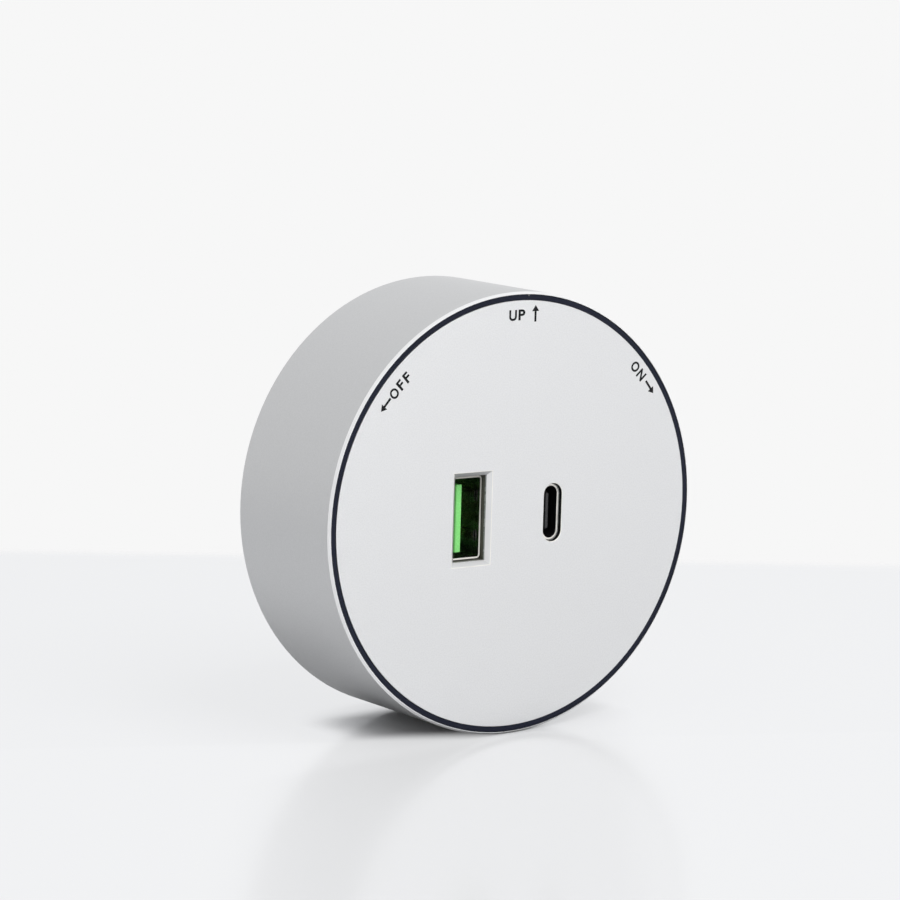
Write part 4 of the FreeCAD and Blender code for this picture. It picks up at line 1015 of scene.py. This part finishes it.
def add_marks(front, material):
    """UP, OFF and ON with their arrows, printed on the front."""
    up_radius = 31.4
    up_arrow_radius = 31.65
    up_arrow_angle = 5.0
    marks = []
    # UP and its arrow stand upright. A letter has its clock angle in degrees and its width.
    for character, angle, width in (("U", -2.9, 1.48), ("P", 0.2, 1.3)):
        letter = letter_mesh(character, width, CAP_HEIGHT)
        marks.append(stand_on_face(letter, angle, up_radius, front, -angle))
    arrow = arrow_mesh(UP_HEAD_WIDTH)
    marks.append(stand_on_face(arrow, up_arrow_angle, up_arrow_radius, front, -up_arrow_angle))
    # OFF and ON follow the rim. Their letters have a radius too, between the angle and the width.
    for character, angle, radius, width in (
        ("O", -49.2, 31.2, 1.56), ("F", -46.05, 31.2, 1.06), ("F", -43.2, 31.2, 1.06),
        ("O", 46.1, 31.9, 1.58), ("N", 49.45, 31.9, 1.44),
    ):
        letter = letter_mesh(character, width, CAP_HEIGHT)
        marks.append(stand_on_face(letter, angle, radius, front))
    for angle, radius, turn in ((54.3, 32.05, 88), (-53.35, 31.35, -86)):
        marks.append(stand_on_face(arrow_mesh(SIDE_HEAD_WIDTH), angle, radius, front, turn))
    work = bmesh.new()
    for mark in marks:
        work.from_mesh(mark)
        bpy.data.meshes.remove(mark)
    bmesh.ops.remove_doubles(work, verts=work.verts, dist=HAIR)
    bmesh.ops.recalc_face_normals(work, faces=work.faces)
    new_piece("printed_marks", write_mesh(work, "printed_marks"), "module", material)


# Other finishes on parts of a piece, with painted shade and highlights

# A face is a side if its normal leans along Y by less than this, and a bevel if by more.
SIDE = 0.3


def in_window(face):
    return face.center.x < 0 and face.center.xz.length < OPENINGS_RADIUS


def in_slot(face):
    return face.center.x > 0 and face.center.xz.length < OPENINGS_RADIUS


def paint_face(face, materials):
    """The fine chamfers get a painted highlight. The window's own bevels are painted darker as shade, the
    top one most.
    """
    # How far the normals of each lean along Y at most.
    fine_chamfer = 0.97
    window_bevel = 0.85
    facing_down = -0.3
    repaint(face, materials["highlight_edge"], lambda f: SIDE < abs(f.normal.y) < fine_chamfer)
    repaint(face, materials["shaded_top_bevel"],
            lambda f: SIDE < abs(f.normal.y) < window_bevel and f.center.x < 0)
    repaint(face, materials["lit_side_bevel"],
            lambda f: SIDE < abs(f.normal.y) < window_bevel and f.normal.z > facing_down and f.center.x < 0)


def paint_openings(piece, materials):
    """The walls of the two openings get painted shade: dark in the window, black in the slot."""
    repaint(piece, materials["window_wall_shade"], lambda f: abs(f.normal.y) < SIDE and in_window(f))
    repaint(piece, materials["slot_wall_shade"], lambda f: abs(f.normal.y) < SIDE and in_slot(f))


def paint_rim(shell, materials):
    """The shell's front rim with its chamfer is cut bright."""
    rim_depth = 0.6 * MM
    rim_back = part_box("outer_shell")[0].y + rim_depth
    repaint(shell, materials["cut_aluminium"], lambda f: f.normal.y < -SIDE and f.center.y < rim_back)


def paint_can(can, node, inside, inner, edge):
    """A port's can gets painted shade on its inside walls, and another painted finish at its rolled front
    edge.
    """
    edge_depth = 0.1 * MM
    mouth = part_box(node)[0].y + edge_depth
    repaint(can, inner, lambda f: abs(f.normal.y) < SIDE and inside(f))
    repaint(can, edge, lambda f: f.normal.y < -0.9 and f.center.y < mouth)


# The scene

add_camera()
materials = {**aluminium_finishes(), **metal_finishes(), **plastic_finishes(), **electronics_finishes()}
add_table(table_material())
add_world(camera_strength=0.93, gloss_dark=0.78, gloss_bright=1.06, fill_strength=0.52)
add_lamp("soft_key", place=(0.05, -1.00, 1.25), size=0.9, power=15.0, mirrored=False)
add_lamp("right_fill", place=(0.15, -0.78, 0.20), size=0.3, power=0.46)
add_lamp("left_fill", place=(-0.68, -0.74, 0.12), size=0.3, power=0.4)

for node, piece in frame["nodes"].items():
    piece.data.materials.clear()
    piece.data.materials.append(materials[SLOT_OF_NODE[node]])

# Nodes dressed in their own shape: the piece's name and the width of its rounded edges in millimetres.
DRESSED = {
    "outer_shell": ("turned_shell", 0.04),
    "front_housing": ("moulded_front_housing", 0.08),
    "face_plate": ("anodised_face", 0.03),
    "usb_a_shell": ("usb_a_can", 0.05),
    "usb_a_tongue": ("usb_a_green_tongue", 0.12),
    "usb_c_shell": ("usb_c_can", 0.02),
    "usb_a_contacts": ("usb_a_gilt_contacts", 0.04),
    "rear_cover": ("moulded_rear_cover", 0.15),
    "rear_cover_screws": ("cover_screws", 0.1),
    "guide_plate": ("moulded_guide_plate", 0.2),
    "retaining_ring": ("spring_retaining_ring", 0.06),
    "key_body": ("moulded_key", 0.2),
    "key_cover": ("key_lid", 0.2),
    "key_screws": ("lid_screws", 0.1),
    "earth_contact": ("earth_tip_contact", 0.1),
}
made = {node: dress(node, name, width, materials) for node, (name, width) in DRESSED.items()}

paint_face(made["face_plate"], materials)
paint_openings(made["face_plate"], materials)
paint_openings(made["front_housing"], materials)
paint_rim(made["outer_shell"], materials)
can_middle = sum(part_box("usb_a_shell"), Vector()) / 2
# The USB-A can is darkened inside by painted shade, and its rolled edge gets painted shade towards the top.
paint_can(made["usb_a_shell"], "usb_a_shell", lambda f: f.normal.dot(can_middle - f.center) > 0,
          materials["shaded_steel"], materials["can_edge"])
# The USB-C can is painted black inside as shade, and its front edge gets a painted highlight.
paint_can(made["usb_c_shell"], "usb_c_shell", lambda f: True,
          materials["slot_wall_shade"], materials["highlight_edge"])

add_grip_ribs(materials)
add_seat_pad(materials)
add_usb_c_tongue(materials)
add_usb_c_contacts(materials)
add_side_contact("live_contact", "live_side_contact", -1, materials)
add_side_contact("neutral_contact", "neutral_side_contact", 1, materials)
add_spring_leaves(materials)
add_locating_nib(materials)
add_marks(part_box("face_plate")[0].y + INK_HEIGHT * MM, materials["ink"])
